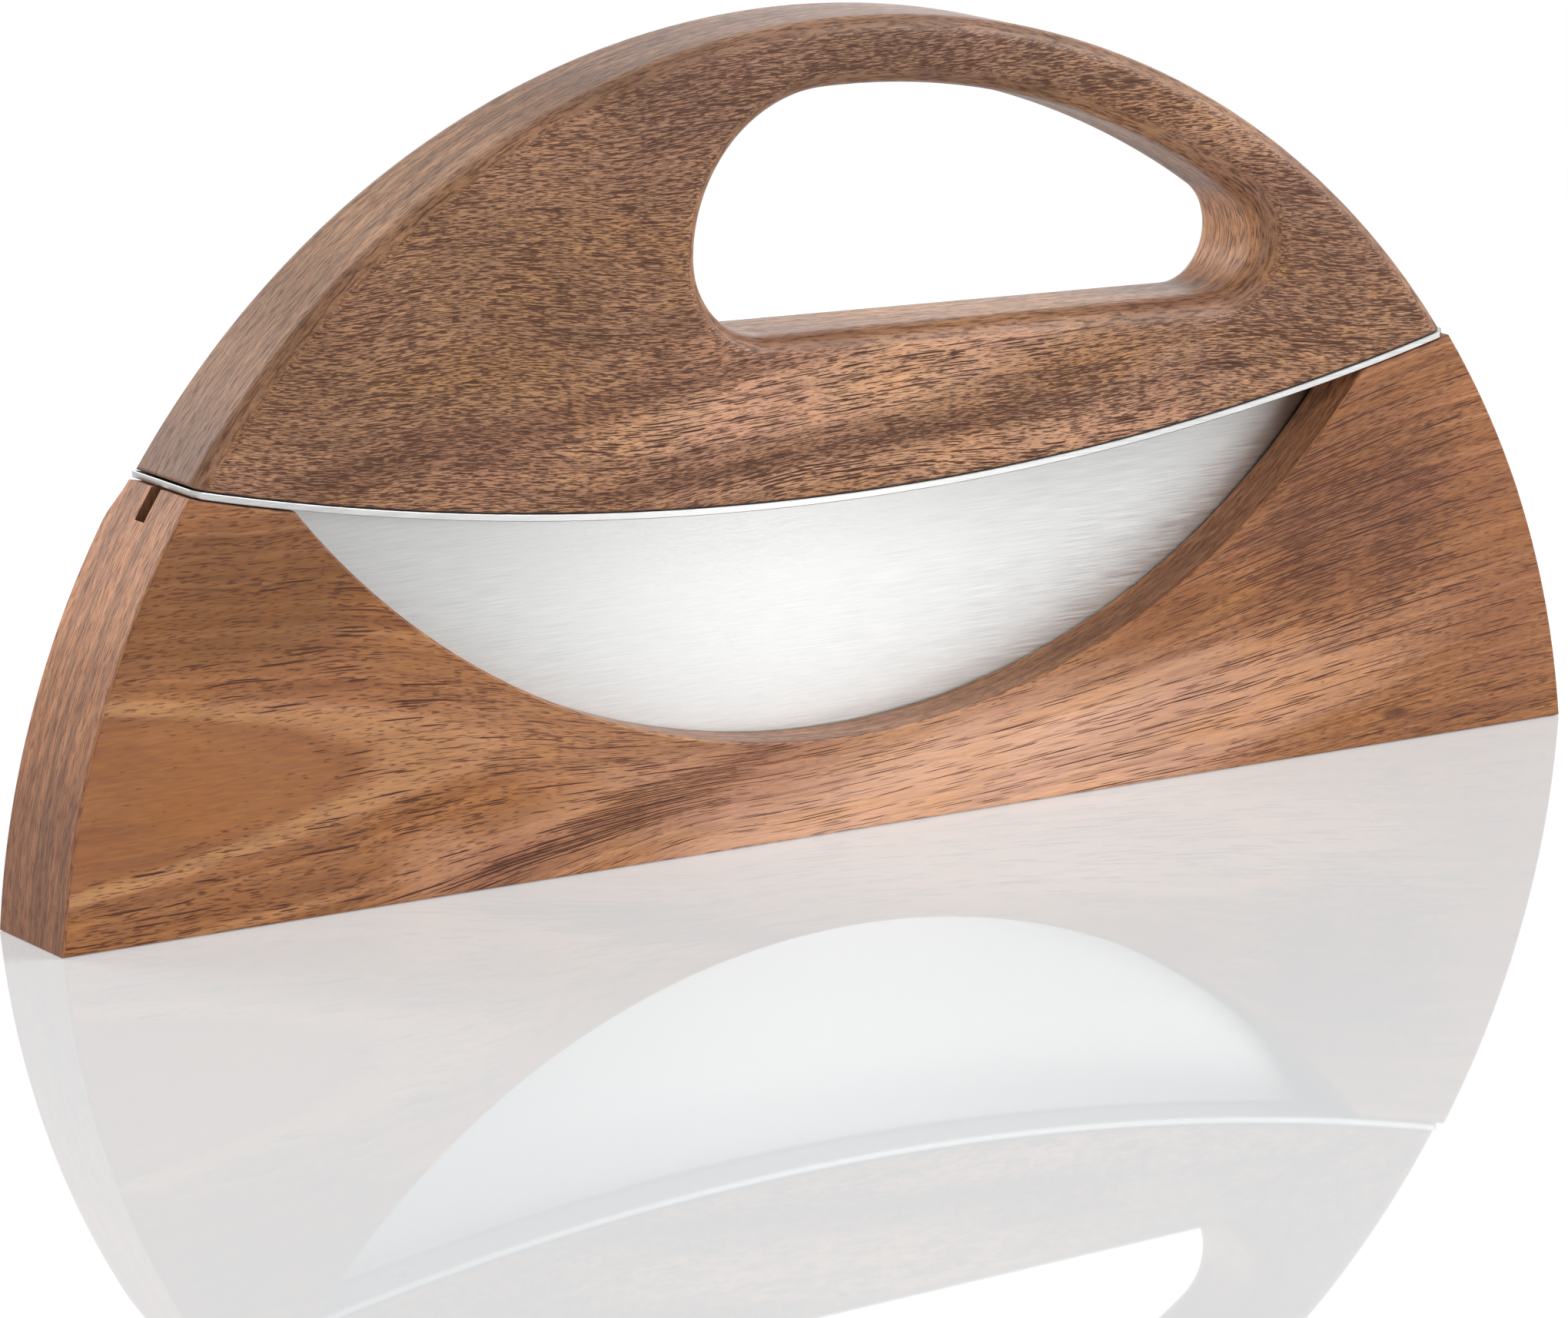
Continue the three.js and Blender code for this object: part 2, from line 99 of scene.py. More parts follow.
# Countersunk screws
SCREW_INSET = 32.0
SCREW_HEAD = 3.2
SCREW_SHANK = 1.6
SCREW_LENGTH = 14.0
SCREW_TIP = 3.5
SCREW_SINK = 0.1
SCREW_LAND = 0.2
SCREW_CLEARANCE = 0.15
THREAD_PITCH = 1.25
THREAD_DEPTH = 0.4
THREAD_WIDTH = 0.28
THREAD_START = 0.1
THREAD_RUNOUT = 0.2
SCREW_HEAD_BREAK = 0.08
SCREW_POINT = 0.03
SCREW_HOLE_POINT = 0.05

# Height, half length and half width of a wing of the screw's cross recess
RECESS_TOP = (-1.0, 2.0, 0.55)
RECESS_FLOOR = (SCREW_SINK + 1.7, 1.0, 0.35)

# Facets, shading and tolerances
OUTER_STEPS = 300
SEAT_STEPS = 180
WINDOW_STEPS = 220
BLADE_STEPS = 260
CORNER_STEPS = 16
ROUND_STEPS = 8
FILLET_STEPS = 5
THREAD_STEPS = 96
SCREW_SIDES = 40
HOLE_SIDES = 48
SHARP_ANGLE = radians(32)
FACE_WEIGHT = 100
SAME_PLACE = 0.002
MERGE_DISTANCE = 1e-8
FILL_INSIDE = 1
FILL_TOLERANCE = 1e-7
CORNER_MITRE = 1.02
CORNER_BLEND = 8.0

half_width = BASE_WIDTH / 2
half_thickness = THICKNESS / 2
outer_radius = (half_width**2 + TOTAL_HEIGHT**2) / (2 * TOTAL_HEIGHT)
outer_centre = Vector((0.0, TOTAL_HEIGHT - outer_radius))
bolster_top = BOLSTER_LOW + BOLSTER_THICKNESS
bolster_centre = Vector((0.0, bolster_top + BOLSTER_ARC))
bolster_under = BOLSTER_ARC + BOLSTER_THICKNESS
block_top = bolster_under + REST_GAP
handle_seat = BOLSTER_ARC - SEAT_GAP
DOWN = -pi / 2


# Outlines


def crossing(centre_a, radius_a, centre_b, radius_b):
    """The crossing of two circles that lies on the +X side."""
    between = centre_b - centre_a
    distance = between.length
    along = (radius_a**2 - radius_b**2 + distance**2) / (2 * distance)
    aside = sqrt(radius_a**2 - along**2)
    direction = between / distance
    across = Vector((-direction.y, direction.x))
    found = [centre_a + along * direction + side * aside * across for side in (1, -1)]
    return max(found, key=lambda point: point.x)


def radius_through(low, side):
    """Radius of the circle through a low point on the middle plane and a point to one side of it."""
    rise = side.y - low
    return (side.x**2 + rise**2) / (2 * rise)


def hanging(centre_height, radius, x):
    """Height of a hanging arc at a distance from the middle."""
    return centre_height - sqrt(radius**2 - x**2)


def angle_from(centre, point):
    return atan2(point.y - centre.y, point.x - centre.x)


def on_circle(centre, radius, angle):
    return Vector((centre.x + radius * cos(angle), centre.y + radius * sin(angle)))


def arc(centre, radius, start, end, steps):
    """Points along an arc, both ends included."""
    return [on_circle(centre, radius, start + (end - start) * i / steps) for i in range(steps + 1)]


def lerp(a, b, t):
    return a + (b - a) * t


def smooth(t):
    t = min(max(t, 0.0), 1.0)
    return t * t * (3 - 2 * t)


def outline(*runs):
    """Closed outline of (point, front edge radius, back edge radius)."""
    points = []
    for path, front, back in runs:
        for i, point in enumerate(path):
            t = i / (len(path) - 1)
            if points and (points[-1][0] - point).length < SAME_PLACE:
                continue
            points.append((point, front(t), back(t)))
    if (points[0][0] - points[-1][0]).length < SAME_PLACE:
        points.pop()
    return points


def inward(loop, i):
    """Offset direction into the material, on the left of the direction of travel, mitred at corners."""
    before, here, after = (loop[(i + k) % len(loop)][0] for k in (-1, 0, 1))
    arriving = (here - before).normalized()
    leaving = (after - here).normalized()
    left = Vector((-arriving.y - leaving.y, arriving.x + leaving.x))
    return left / (1 + arriving.dot(leaving))


def inset_directions(loop):
    """Offset directions of a loop, which lean away from sharp corners so that the inset keeps its order."""
    count = len(loop)
    shifts = [inward(loop, i) for i in range(count)]
    corners = [i for i in range(count) if shifts[i].length > CORNER_MITRE]
    for i in corners:
        for step in (1, -1):
            place = loop[i][0]
            away = (loop[(i + step) % count][0] - place).normalized()
            lean = shifts[i].dot(away)
            k = (i + step) % count
            while (loop[k][0] - place).length < CORNER_BLEND:
                shifts[k] = shifts[k] + away * lean * (1 - (loop[k][0] - place).length / CORNER_BLEND)
                k = (k + step) % count
    return shifts


def inside(point, ring):
    """Whether a point lies inside a closed ring."""
    crossings = 0
    for a, b in zip(ring, ring[1:] + ring[:1]):
        if (a.y > point.y) != (b.y > point.y):
            at = a.x + (point.y - a.y) / (b.y - a.y) * (b.x - a.x)
            crossings += at > point.x
    return crossings % 2 == 1


# Meshes


def new_piece(name, vertices, faces):
    """Object from millimetre vertices, with doubles merged and the faces turned outward."""
    mesh = bpy.data.meshes.new(name)
    mesh.from_pydata([Vector(v) * MM for v in vertices], [], faces)
    tidy = bmesh.new()
    tidy.from_mesh(mesh)
    bmesh.ops.remove_doubles(tidy, verts=tidy.verts, dist=MERGE_DISTANCE)
    bmesh.ops.recalc_face_normals(tidy, faces=tidy.faces)
    tidy.to_mesh(mesh)
    tidy.free()
    piece = bpy.data.objects.new(name, mesh)
    bpy.context.scene.collection.objects.link(piece)
    return piece


def settle(piece):
    """Applies the piece's modifiers to its mesh."""
    graph = bpy.context.evaluated_depsgraph_get()
    mesh = bpy.data.meshes.new_from_object(piece.evaluated_get(graph))
    mesh.name = piece.name
    piece.modifiers.clear()
    piece.data = mesh


def cut(piece, cutters):
    """Cuts the cutters out of a piece and removes them."""
    for cutter in cutters:
        modifier = piece.modifiers.new("cut", "BOOLEAN")
        modifier.operation = "DIFFERENCE"
        modifier.solver = "EXACT"
        modifier.object = cutter
    settle(piece)
    for cutter in cutters:
        bpy.data.objects.remove(cutter)


def shade(piece):
    """Smooth shading with flat faces kept flat."""
    piece.data.shade_smooth()
    piece.data.set_sharp_from_angle(angle=SHARP_ANGLE)
    weighted = piece.modifiers.new("weighted", "WEIGHTED_NORMAL")
    weighted.keep_sharp = True
    weighted.weight = FACE_WEIGHT


def rounded_slab(name, outer, holes):
    """Slab between the front and back faces, with rounded edges whose radius follows the outline."""
    turns = [k / ROUND_STEPS * pi / 2 for k in range(ROUND_STEPS + 1)]
    layers = [(-1, turn) for turn in reversed(turns)] + [(1, turn) for turn in turns]
    loops = [outer, *holes]
    vertices = []
    faces = []
    flats = {0: [], len(layers) - 1: []}
    for loop in loops:
        start = len(vertices)
        count = len(loop)
        shifts = inset_directions(loop)
        for side, turn in layers:
            for (point, front, back), shift in zip(loop, shifts):
                ease = front if side < 0 else back
                moved = point + shift * ease * (1 - cos(turn))
                vertices.append((moved.x, side * (half_thickness - ease * (1 - sin(turn))), moved.y))
        for j in range(len(layers) - 1):
            for i in range(count):
                a = start + j * count + i
                b = start + j * count + (i + 1) % count
                faces.append((a, b, b + count, a + count))
        for layer, rings in flats.items():
            rings.append(list(range(start + layer * count, start + (layer + 1) * count)))
    for rings in flats.values():
        ids = [i for ring in rings for i in ring]
        flat = [Vector((vertices[i][0], vertices[i][2])) for i in ids]
        edges = []
        base = 0
        for ring in rings:
            edges += [(base + k, base + (k + 1) % len(ring)) for k in range(len(ring))]
            base += len(ring)
        filled = delaunay_2d_cdt(flat, edges, [], FILL_INSIDE, FILL_TOLERANCE)
        gaps = [[flat[ids.index(i)] for i in ring] for ring in rings[1:]]
        for face in filled[2]:
            corners = [filled[3][v][0] for v in face]
            middle = sum((flat[k] for k in corners), Vector((0.0, 0.0))) / len(corners)
            if not any(inside(middle, gap) for gap in gaps):
                faces.append(tuple(ids[k] for k in corners))
    return new_piece(name, vertices, faces)


def prism(name, points, width):
    """Straight prism of an XZ outline, centred on the middle plane."""
    count = len(points)
    vertices = [(p.x, side * width / 2, p.y) for side in (-1, 1) for p in points]
    faces = [tuple(range(count)), tuple(range(count, 2 * count))]
    faces += [(i, (i + 1) % count, count + (i + 1) % count, count + i) for i in range(count)]
    return new_piece(name, vertices, faces)


def sweep(name, sections):
    """Closed skin over a row of equal sections, capped at both ends."""
    ring = len(sections[0])
    vertices = [point for section in sections for point in section]
    faces = []
    for i in range(len(sections) - 1):
        for j in range(ring):
            a = i * ring + j
            b = i * ring + (j + 1) % ring
            faces.append((a, b, b + ring, a + ring))
    faces.append(tuple(range(ring)))
    faces.append(tuple(range(len(vertices) - ring, len(vertices))))
    return new_piece(name, vertices, faces)


def make_stand(edge):
    """Block with its window, its kerf and the back corners sanded round."""
    corner = crossing(outer_centre, outer_radius, bolster_centre, block_top)
    window_x = corner.x - WINDOW_SHOULDER
    window_end = Vector((window_x, hanging(bolster_centre.y, block_top, window_x)))
    window_radius = radius_through(WINDOW_LOW, window_end)
    window_centre = Vector((0.0, WINDOW_LOW + window_radius))
    base_angle = angle_from(outer_centre, Vector((half_width, 0.0)))
    corner_angle = angle_from(outer_centre, corner)
    top_from = angle_from(bolster_centre, corner)
    top_to = angle_from(bolster_centre, window_end)
    window_angle = angle_from(window_centre, window_end)
    side_length = outer_radius * (corner_angle - base_angle)

    def ease(t):
        return BLOCK_EASE

    def sanded(distance):
        return lerp(BLOCK_BACK_CORNER, BLOCK_EASE, smooth(distance / BLOCK_CORNER_REACH))

    side_steps = OUTER_STEPS // 4
    mirror_top = 2 * DOWN - top_from
    right_side = arc(outer_centre, outer_radius, base_angle, corner_angle, side_steps)
    right_top = arc(bolster_centre, block_top, top_from, top_to, CORNER_STEPS)
    window = arc(window_centre, window_radius, window_angle, 2 * DOWN - window_angle, WINDOW_STEPS)
    left_top = arc(bolster_centre, block_top, 2 * DOWN - top_to, mirror_top, CORNER_STEPS)
    left_side = arc(outer_centre, outer_radius, pi - corner_angle, pi - base_angle, side_steps)
    loop = outline(
        (right_side, ease, lambda t: sanded((1 - t) * side_length)),
        (right_top, ease, lambda t: sanded(t * WINDOW_SHOULDER)),
        (window, ease, ease),
        (left_top, ease, lambda t: sanded((1 - t) * WINDOW_SHOULDER)),
        (left_side, ease, lambda t: sanded(t * side_length)),
    )
    stand = rounded_slab("block", loop, [])

    slot_low = edge["low"] - SLOT_FLOOR
    mouth_height = corner.y - SLOT_END_DEPTH
    mouth = Vector((sqrt(outer_radius**2 - (mouth_height - outer_centre.y) ** 2), mouth_height))
    slot_radius = radius_through(slot_low, mouth)
    slot_centre = Vector((0.0, slot_low + slot_radius))
    reach = mouth.x + SLOT_SIDE
    top = corner.y + SLOT_FLOOR
    turn = asin(reach / slot_radius)
    kerf = arc(slot_centre, slot_radius, DOWN - turn, DOWN + turn, WINDOW_STEPS)
    kerf += [Vector((reach, top)), Vector((-reach, top))]
    cut(stand, [prism("kerf", kerf, BLADE_THICKNESS + 2 * SLOT_SIDE)])
    return stand


def hand_hole():
    """Bar of even thickness above, nearly level floor, tall round left end and small right end."""
    ceiling = outer_radius - GRIP
    handle_height = TOTAL_HEIGHT - bolster_top
    floor_left = bolster_top + HOLE_FLOOR_LEFT * handle_height
    floor_right = bolster_top + HOLE_FLOOR_RIGHT * handle_height
    lower = HOLE_LOWER_RADIUS
    lower_centre = Vector((HOLE_LEFT + lower, floor_left + lower))
    springing = lower_centre.y - outer_centre.y
    upper = (ceiling**2 - HOLE_LEFT**2 - springing**2) / (2 * (ceiling + HOLE_LEFT))
    upper_centre = Vector((HOLE_LEFT + upper, lower_centre.y))
    right_height = floor_right + HOLE_RIGHT_RADIUS
    right_reach = sqrt((ceiling - HOLE_RIGHT_RADIUS) ** 2 - (right_height - outer_centre.y) ** 2)
    right_centre = Vector((right_reach, right_height))
    between = right_centre - lower_centre
    lean = asin((lower - HOLE_RIGHT_RADIUS) / between.length)
    floor_angle = atan2(between.y, between.x) + DOWN + lean
    ceiling_from = angle_from(outer_centre, right_centre)
    ceiling_to = angle_from(outer_centre, upper_centre)

    ceiling_length = ceiling * (ceiling_to - ceiling_from)
    right_end = arc(right_centre, HOLE_RIGHT_RADIUS, floor_angle, ceiling_from, 3 * CORNER_STEPS)
    above = arc(outer_centre, ceiling, ceiling_from, ceiling_to, OUTER_STEPS // 3)
    left_upper = arc(upper_centre, upper, ceiling_to, pi, 3 * CORNER_STEPS)
    left_lower = arc(lower_centre, lower, pi, floor_angle + 2 * pi, 2 * CORNER_STEPS)
    floor = [lerp(left_lower[-1], right_end[0], i / SEAT_STEPS) for i in range(SEAT_STEPS + 1)]

    def plain(t):
        return HOLE_RIM

    def wide(t):
        return HOLE_RIGHT_RIM

    def narrowing(t):
        return lerp(HOLE_RIGHT_RIM, HOLE_RIM, smooth(t * ceiling_length / HOLE_RIM_FADE))

    def widening(t):
        return lerp(HOLE_RIM, HOLE_RIGHT_RIM, t)

    loop = outline(
        (right_end, wide, wide),
        (above, narrowing, narrowing),
        (left_upper, plain, plain),
        (left_lower, plain, plain),
        (floor, widening, widening),
    )
    return loop[::-1]


def make_handle():
    """Disc with round edges and the hand hole, cut to its seat on the bolster with small corners."""
    corner = crossing(
        outer_centre, outer_radius - HANDLE_CORNER, bolster_centre, handle_seat - HANDLE_CORNER
    )
    seat_angle = angle_from(bolster_centre, corner)
    back_angle = angle_from(outer_centre, corner)
    disc = arc(outer_centre, outer_radius, DOWN, DOWN + 2 * pi, 2 * OUTER_STEPS)

    def ease(t):
        return HANDLE_EDGE

    handle = rounded_slab("grip", outline((disc, ease, ease)), [hand_hole()])
    left = Vector((-corner.x, corner.y))
    under = arc(left, HANDLE_CORNER, pi - back_angle, pi - seat_angle, CORNER_STEPS)
    under += arc(bolster_centre, handle_seat, 2 * DOWN - seat_angle, seat_angle, SEAT_STEPS)[1:]
    under += arc(corner, HANDLE_CORNER, seat_angle, back_angle, CORNER_STEPS)[1:]
    height = under[0].y
    far = BASE_WIDTH
    under += [Vector(place) for place in ((far, height), (far, -far), (-far, -far), (-far, height))]
    cut(handle, [prism("under", under, 2 * THICKNESS)])
    return handle


def make_bolster(half_length):
    """Bent strip with clipped corners and lightly broken edges."""
    stations = []
    for i in range(SEAT_STEPS + 1):
        stations.append((lerp(-1, 1, i / SEAT_STEPS) * (half_length - BOLSTER_CORNER), 0.0, 0.0))
    ends = [(half_length - BOLSTER_EDGE, BOLSTER_CORNER - BOLSTER_EDGE, 0.0)]
    ends.append((half_length, BOLSTER_CORNER, BOLSTER_EDGE))
    stations = [(-x, clip, inset) for x, clip, inset in reversed(ends)] + stations + ends
    sections = []
    for x, clip, inset in stations:
        wide = half_thickness - clip - inset
        narrow = wide - BOLSTER_EDGE
        low = inset
        high = BOLSTER_THICKNESS - inset
        profile = [
            (-narrow, low),
            (narrow, low),
            (wide, low + BOLSTER_EDGE),
            (wide, high - BOLSTER_EDGE),
            (narrow, high),
            (-narrow, high),
            (-wide, high - BOLSTER_EDGE),
            (-wide, low + BOLSTER_EDGE),
        ]
        sections.append([(x, y, hanging(bolster_centre.y, bolster_under - rise, x)) for y, rise in profile])
    return sweep("bolster", sections)


def blade_edge(half_length):
    """The cutting edge is the arc through its low point and its two tips."""
    top_radius = bolster_under + WELD_GAP
    reach = half_length - BLADE_TIP_INSET
    tip = Vector((reach, hanging(bolster_centre.y, top_radius, reach) - BLADE_TIP_HEIGHT))
    return {"low": BLADE_LOW, "radius": radius_through(BLADE_LOW, tip), "tip": tip, "top": top_radius}


def make_blade(edge):
    """Section with a ground bevel and a weld fillet, swept from tip to tip."""
    centre_height = edge["low"] + edge["radius"]
    turn = asin(edge["tip"].x / edge["radius"])
    half = BLADE_THICKNESS / 2
    half_edge = BLADE_EDGE / 2
    sections = []
    for i in range(BLADE_STEPS + 1):
        lean = lerp(-turn, turn, i / BLADE_STEPS)
        x = edge["radius"] * sin(lean)
        low = centre_height - edge["radius"] * cos(lean)
        high = hanging(bolster_centre.y, edge["top"], x)
        rise = BLADE_BEVEL / cos(lean)
        bevel = min(low + rise, high - BLADE_LEAST_LAND)
        grind = (half - half_edge) / rise
        wide = min(half, half_edge + grind * (bevel - low))
        fillet = min(WELD_FILLET, WELD_SHARE * (high - bevel))
        right = [(half_edge, low), (wide, bevel)]
        for k in range(FILLET_STEPS + 1):
            angle = k / FILLET_STEPS * pi / 2
            right.append((wide + fillet * (1 - cos(angle)), high - fillet * (1 - sin(angle))))
        profile = right + [(-y, z) for y, z in reversed(right)]
        sections.append([(x, y, z) for y, z in profile])
    return sweep("crescent_blade", sections)


def lathe(name, profile, sides, radius_at=None):
    """Turned piece about +Z from (radius, height) pairs, whose radius may depend on the turn."""
    sections = []
    for radius, height in profile:
        ring = []
        for k in range(sides):
            angle = 2 * pi * k / sides
            r = radius_at(radius, height, angle) if radius_at else radius
            ring.append((r * cos(angle), r * sin(angle), height))
        sections.append(ring)
    return sweep(name, sections)


def screw_hole(place):
    """Cutter for a countersunk clearance hole."""
    head = SCREW_HEAD + SCREW_CLEARANCE
    shank = SCREW_SHANK + SCREW_CLEARANCE
    cone = SCREW_SINK + SCREW_LAND
    profile = [
        (head, -BOLSTER_THICKNESS),
        (head, cone),
        (shank, cone + head - shank),
        (shank, SCREW_LENGTH - SCREW_TIP),
        (SCREW_HOLE_POINT, SCREW_LENGTH + SCREW_CLEARANCE),
    ]
    hole = lathe("hole", profile, HOLE_SIDES)
    hole.data.transform(place)
    return hole


def make_screw(name, place):
    """Countersunk wood screw with a thread and a cross recess."""
    cone = SCREW_SINK + SCREW_LAND
    neck = cone + SCREW_HEAD - SCREW_SHANK
    core = SCREW_SHANK - THREAD_DEPTH
    thread_from = neck + THREAD_PITCH

    def ridge(radius, height, angle):
        if height < thread_from or height > SCREW_LENGTH - THREAD_RUNOUT:
            return radius
        phase = (height / THREAD_PITCH - angle / (2 * pi)) % 1.0
        crest = max(0.0, 1 - abs(phase - 0.5) / THREAD_WIDTH)
        return radius + THREAD_DEPTH * crest * min(1.0, radius / core)

    profile = [
        (SCREW_HEAD - SCREW_HEAD_BREAK, SCREW_SINK),
        (SCREW_HEAD, SCREW_SINK + SCREW_HEAD_BREAK),
        (SCREW_HEAD, cone),
        (SCREW_SHANK, neck),
        (SCREW_SHANK, thread_from - THREAD_START),
    ]
    for i in range(THREAD_STEPS + 1):
        height = lerp(thread_from, SCREW_LENGTH, i / THREAD_STEPS)
        taper = min(1.0, (SCREW_LENGTH - height) / SCREW_TIP)
        profile.append((lerp(SCREW_POINT, core, taper), height))
    screw = lathe(name, profile, SCREW_SIDES, ridge)
    recess = []
    for spin in (0.0, pi / 2):
        sections = []
        for height, length, width in (RECESS_TOP, RECESS_FLOOR):
            corners = [(-1, -1), (1, -1), (1, 1), (-1, 1)]
            sections.append([(sx * length, sy * width, height) for sx, sy in corners])
        wing = sweep("wing", sections)
        wing.data.transform(Matrix.Rotation(spin, 4, "Z"))
        recess.append(wing)
    cut(screw, recess)
    screw.data.transform(place)
    return screw


def screw_places(half_length):
    """Screws stand square to the strip, in a row on each side of the blade."""
    offset = (half_thickness + BLADE_THICKNESS / 2) / 2
    tilt = asin((half_length - SCREW_INSET) / bolster_under)
    places = {}
    for end, side_x in (("left", -1), ("right", 1)):
        for row, side_y in (("front", -1), ("back", 1)):
            foot = on_circle(bolster_centre, bolster_under, DOWN + side_x * tilt)
            move = Matrix.Translation(Vector((foot.x, side_y * offset, foot.y)) * MM)
            places[f"{end}_{row}"] = move @ Matrix.Rotation(-side_x * tilt, 4, "Y")
    return places


# Materials


def srgb(red, green, blue):
    """Linear colour from 0 to 255 display values."""
    return tuple(pow(value / 255, 2.2) for value in (red, green, blue)) + (1.0,)


class Shader:
    """A material's node tree, with short calls for the nodes that the looks need."""

    def __init__(self, name):
        self.material = bpy.data.materials.new(name)
        self.material.use_nodes = True
        self.tree = self.material.node_tree
        self.tree.nodes.clear()
        self.surface = self.add("ShaderNodeBsdfPrincipled")
        output = self.add("ShaderNodeOutputMaterial")
        self.join(self.surface.outputs["BSDF"], output.inputs["Surface"])

    def add(self, kind, **settings):
        node = self.tree.nodes.new(kind)
        for key, value in settings.items():
            setattr(node, key, value)
        return node

    def join(self, source, socket):
        """Links a socket, or sets a plain value on it."""
        if isinstance(source, bpy.types.NodeSocket):
            self.tree.links.new(source, socket)
        else:
            socket.default_value = source

    def math(self, operation, *values):
        node = self.add("ShaderNodeMath", operation=operation)
        for value, socket in zip(values, node.inputs):
            self.join(value, socket)
        return node.outputs[0]

    def times(self, a, b):
        return self.math("MULTIPLY", a, b)

    def vector(self, x, y, z):
        node = self.add("ShaderNodeCombineXYZ")
        for value, socket in zip((x, y, z), node.inputs):
            self.join(value, socket)
        return node.outputs[0]

    def split(self, vector):
        node = self.add("ShaderNodeSeparateXYZ")
        self.join(vector, node.inputs[0])
        return node.outputs[0], node.outputs[1], node.outputs[2]

    def stretch(self, vector, factors, offset=(0.0, 0.0, 0.0)):
        node = self.add("ShaderNodeVectorMath", operation="MULTIPLY_ADD")
        for value, socket in zip((vector, factors, offset), node.inputs):
            self.join(value, socket)
        return node.outputs[0]

    def places(self):
        """Places on the piece in millimetres, and the normals there."""
        node = self.add("ShaderNodeTexCoord")
        return self.stretch(node.outputs["Object"], (1 / MM, 1 / MM, 1 / MM)), node.outputs["Normal"]

    def noise(self, vector, cell, detail=2.0, roughness=0.5, offset=(0.0, 0.0, 0.0)):
        node = self.add("ShaderNodeTexNoise")
        self.join(self.stretch(vector, cell, offset), node.inputs["Vector"])
        node.inputs["Scale"].default_value = 1.0
        node.inputs["Detail"].default_value = detail
        node.inputs["Roughness"].default_value = roughness
        return node.outputs[0]

    def fade(self, value, start, end, low=0.0, high=1.0):
        """Smooth step of a value from start to end."""
        node = self.add("ShaderNodeMapRange", interpolation_type="SMOOTHSTEP")
        for item, socket in zip((value, start, end, low, high), node.inputs):
            self.join(item, socket)
        return node.outputs[0]

    def ramp(self, value, stops):
        node = self.add("ShaderNodeValToRGB")
        self.join(value, node.inputs[0])
        elements = node.color_ramp.elements
        while len(elements) < len(stops):
            elements.new(0.5)
        for element, (position, colour) in zip(elements, stops):
            element.position = position
            element.color = colour
        return node.outputs[0]

    def mix(self, factor, a, b, blend="MIX"):
        node = self.add("ShaderNodeMix", data_type="RGBA", blend_type=blend)
        self.join(factor, node.inputs[0])
        self.join(a, node.inputs[6])
        self.join(b, node.inputs[7])
        return node.outputs[2]

    def bump(self, height, strength, distance):
        node = self.add("ShaderNodeBump")
        node.inputs["Strength"].default_value = strength
        node.inputs["Distance"].default_value = distance
        self.join(height, node.inputs["Height"])
        self.join(node.outputs[0], self.surface.inputs["Normal"])

    def set(self, **values):
        for key, value in values.items():
            self.join(value, self.surface.inputs[key.replace("_", " ")])


# Noise cells per millimetre along, through and across the grain
WAVE_CELL = (0.02, 0.035, 0.026)
RIPPLE_CELL = (0.1, 0.16, 0.08)
BLUR_CELL = (0.03, 0.12, 0.16)
BROAD_CELL = (0.03, 0.1, 0.07)
FINE_CELL = (0.3, 2.0, 2.4)
STREAK_CELL = (0.014, 0.3, 0.36)
FIBRE_CELL = (0.1, 2.4, 2.4)
SHEET_CELL = (0.012, 0.7, 0.02)
CURL_CELL = (0.09, 0.05, 0.035)
BUNCH_CELL = (0.05, 0.3, 0.28)
EDGE_CELL = (0.4, 4.0, 0.4)
SAW_CELL = (1.4, 0.6, 0.15)

# Tints over the noise, and the spans of noise over which a feature comes in
BROAD_TINTS = [
    (0.3, (1.05, 0.99, 0.84, 1.0)),
    (0.5, (1.0, 1.0, 1.0, 1.0)),
    (0.7, (0.99, 0.95, 1.02, 1.0)),
]
FINE_TINTS = [
    (0.35, (0.92, 0.91, 0.95, 1.0)),
    (0.65, (1.1, 1.08, 0.98, 1.0)),
]
STREAK_SPAN = (0.5, 0.72)
SHEET_SPAN = (0.28, 0.72)
FIBRE_SPAN = (0.25, 0.75)
CURL_SPAN = (0.3, 0.7)
EDGE_SPAN = (0.44, 0.66)
BELT_SPAN = (1.0, 0.2)
BLOT_SPAN = (1.4, 0.5)

# Spans of the normal's parts: X on end grain, and Y from the flat faces over the rounding to the edges
END_FACING = (0.35, 0.8)
EDGE_FACING = (0.8, 0.3)
TURNED_FACING = (0.98, 0.8)
ROUND_FROM = (0.97, 0.8)
ROUND_TO = (0.3, 0.6)
SHEETS_ON_FACE = 0.15

# Pores, and the long ones' step for the slope, least slope, dark core, bunching and soft ends
PORE_ROUGHNESS = 0.55
LINE_STEP = 0.12
LINE_LEAST_SLOPE = 0.02
LINE_CORE = 0.4
LINE_BUNCH = 0.3
LINE_END = 0.08

# Painted shadow line along the handle's seat gap, and satin oil
SEAT_SHADOW_TONE = (34, 22, 18)
SEAT_SHADOW_DEPTH = 0.9
SATIN_FIBRE = 0.14
SATIN_PORES = 0.12
SATIN_SPECULAR = 0.35
FIBRE_BUMP = 0.25
FIBRE_RELIEF = 0.06 * MM


def centred(shader, vector, cell, gain, detail=0.0):
    """Noise about zero with a given swing."""
    return shader.times(shader.math("SUBTRACT", shader.noise(vector, cell, detail), 0.5), gain)


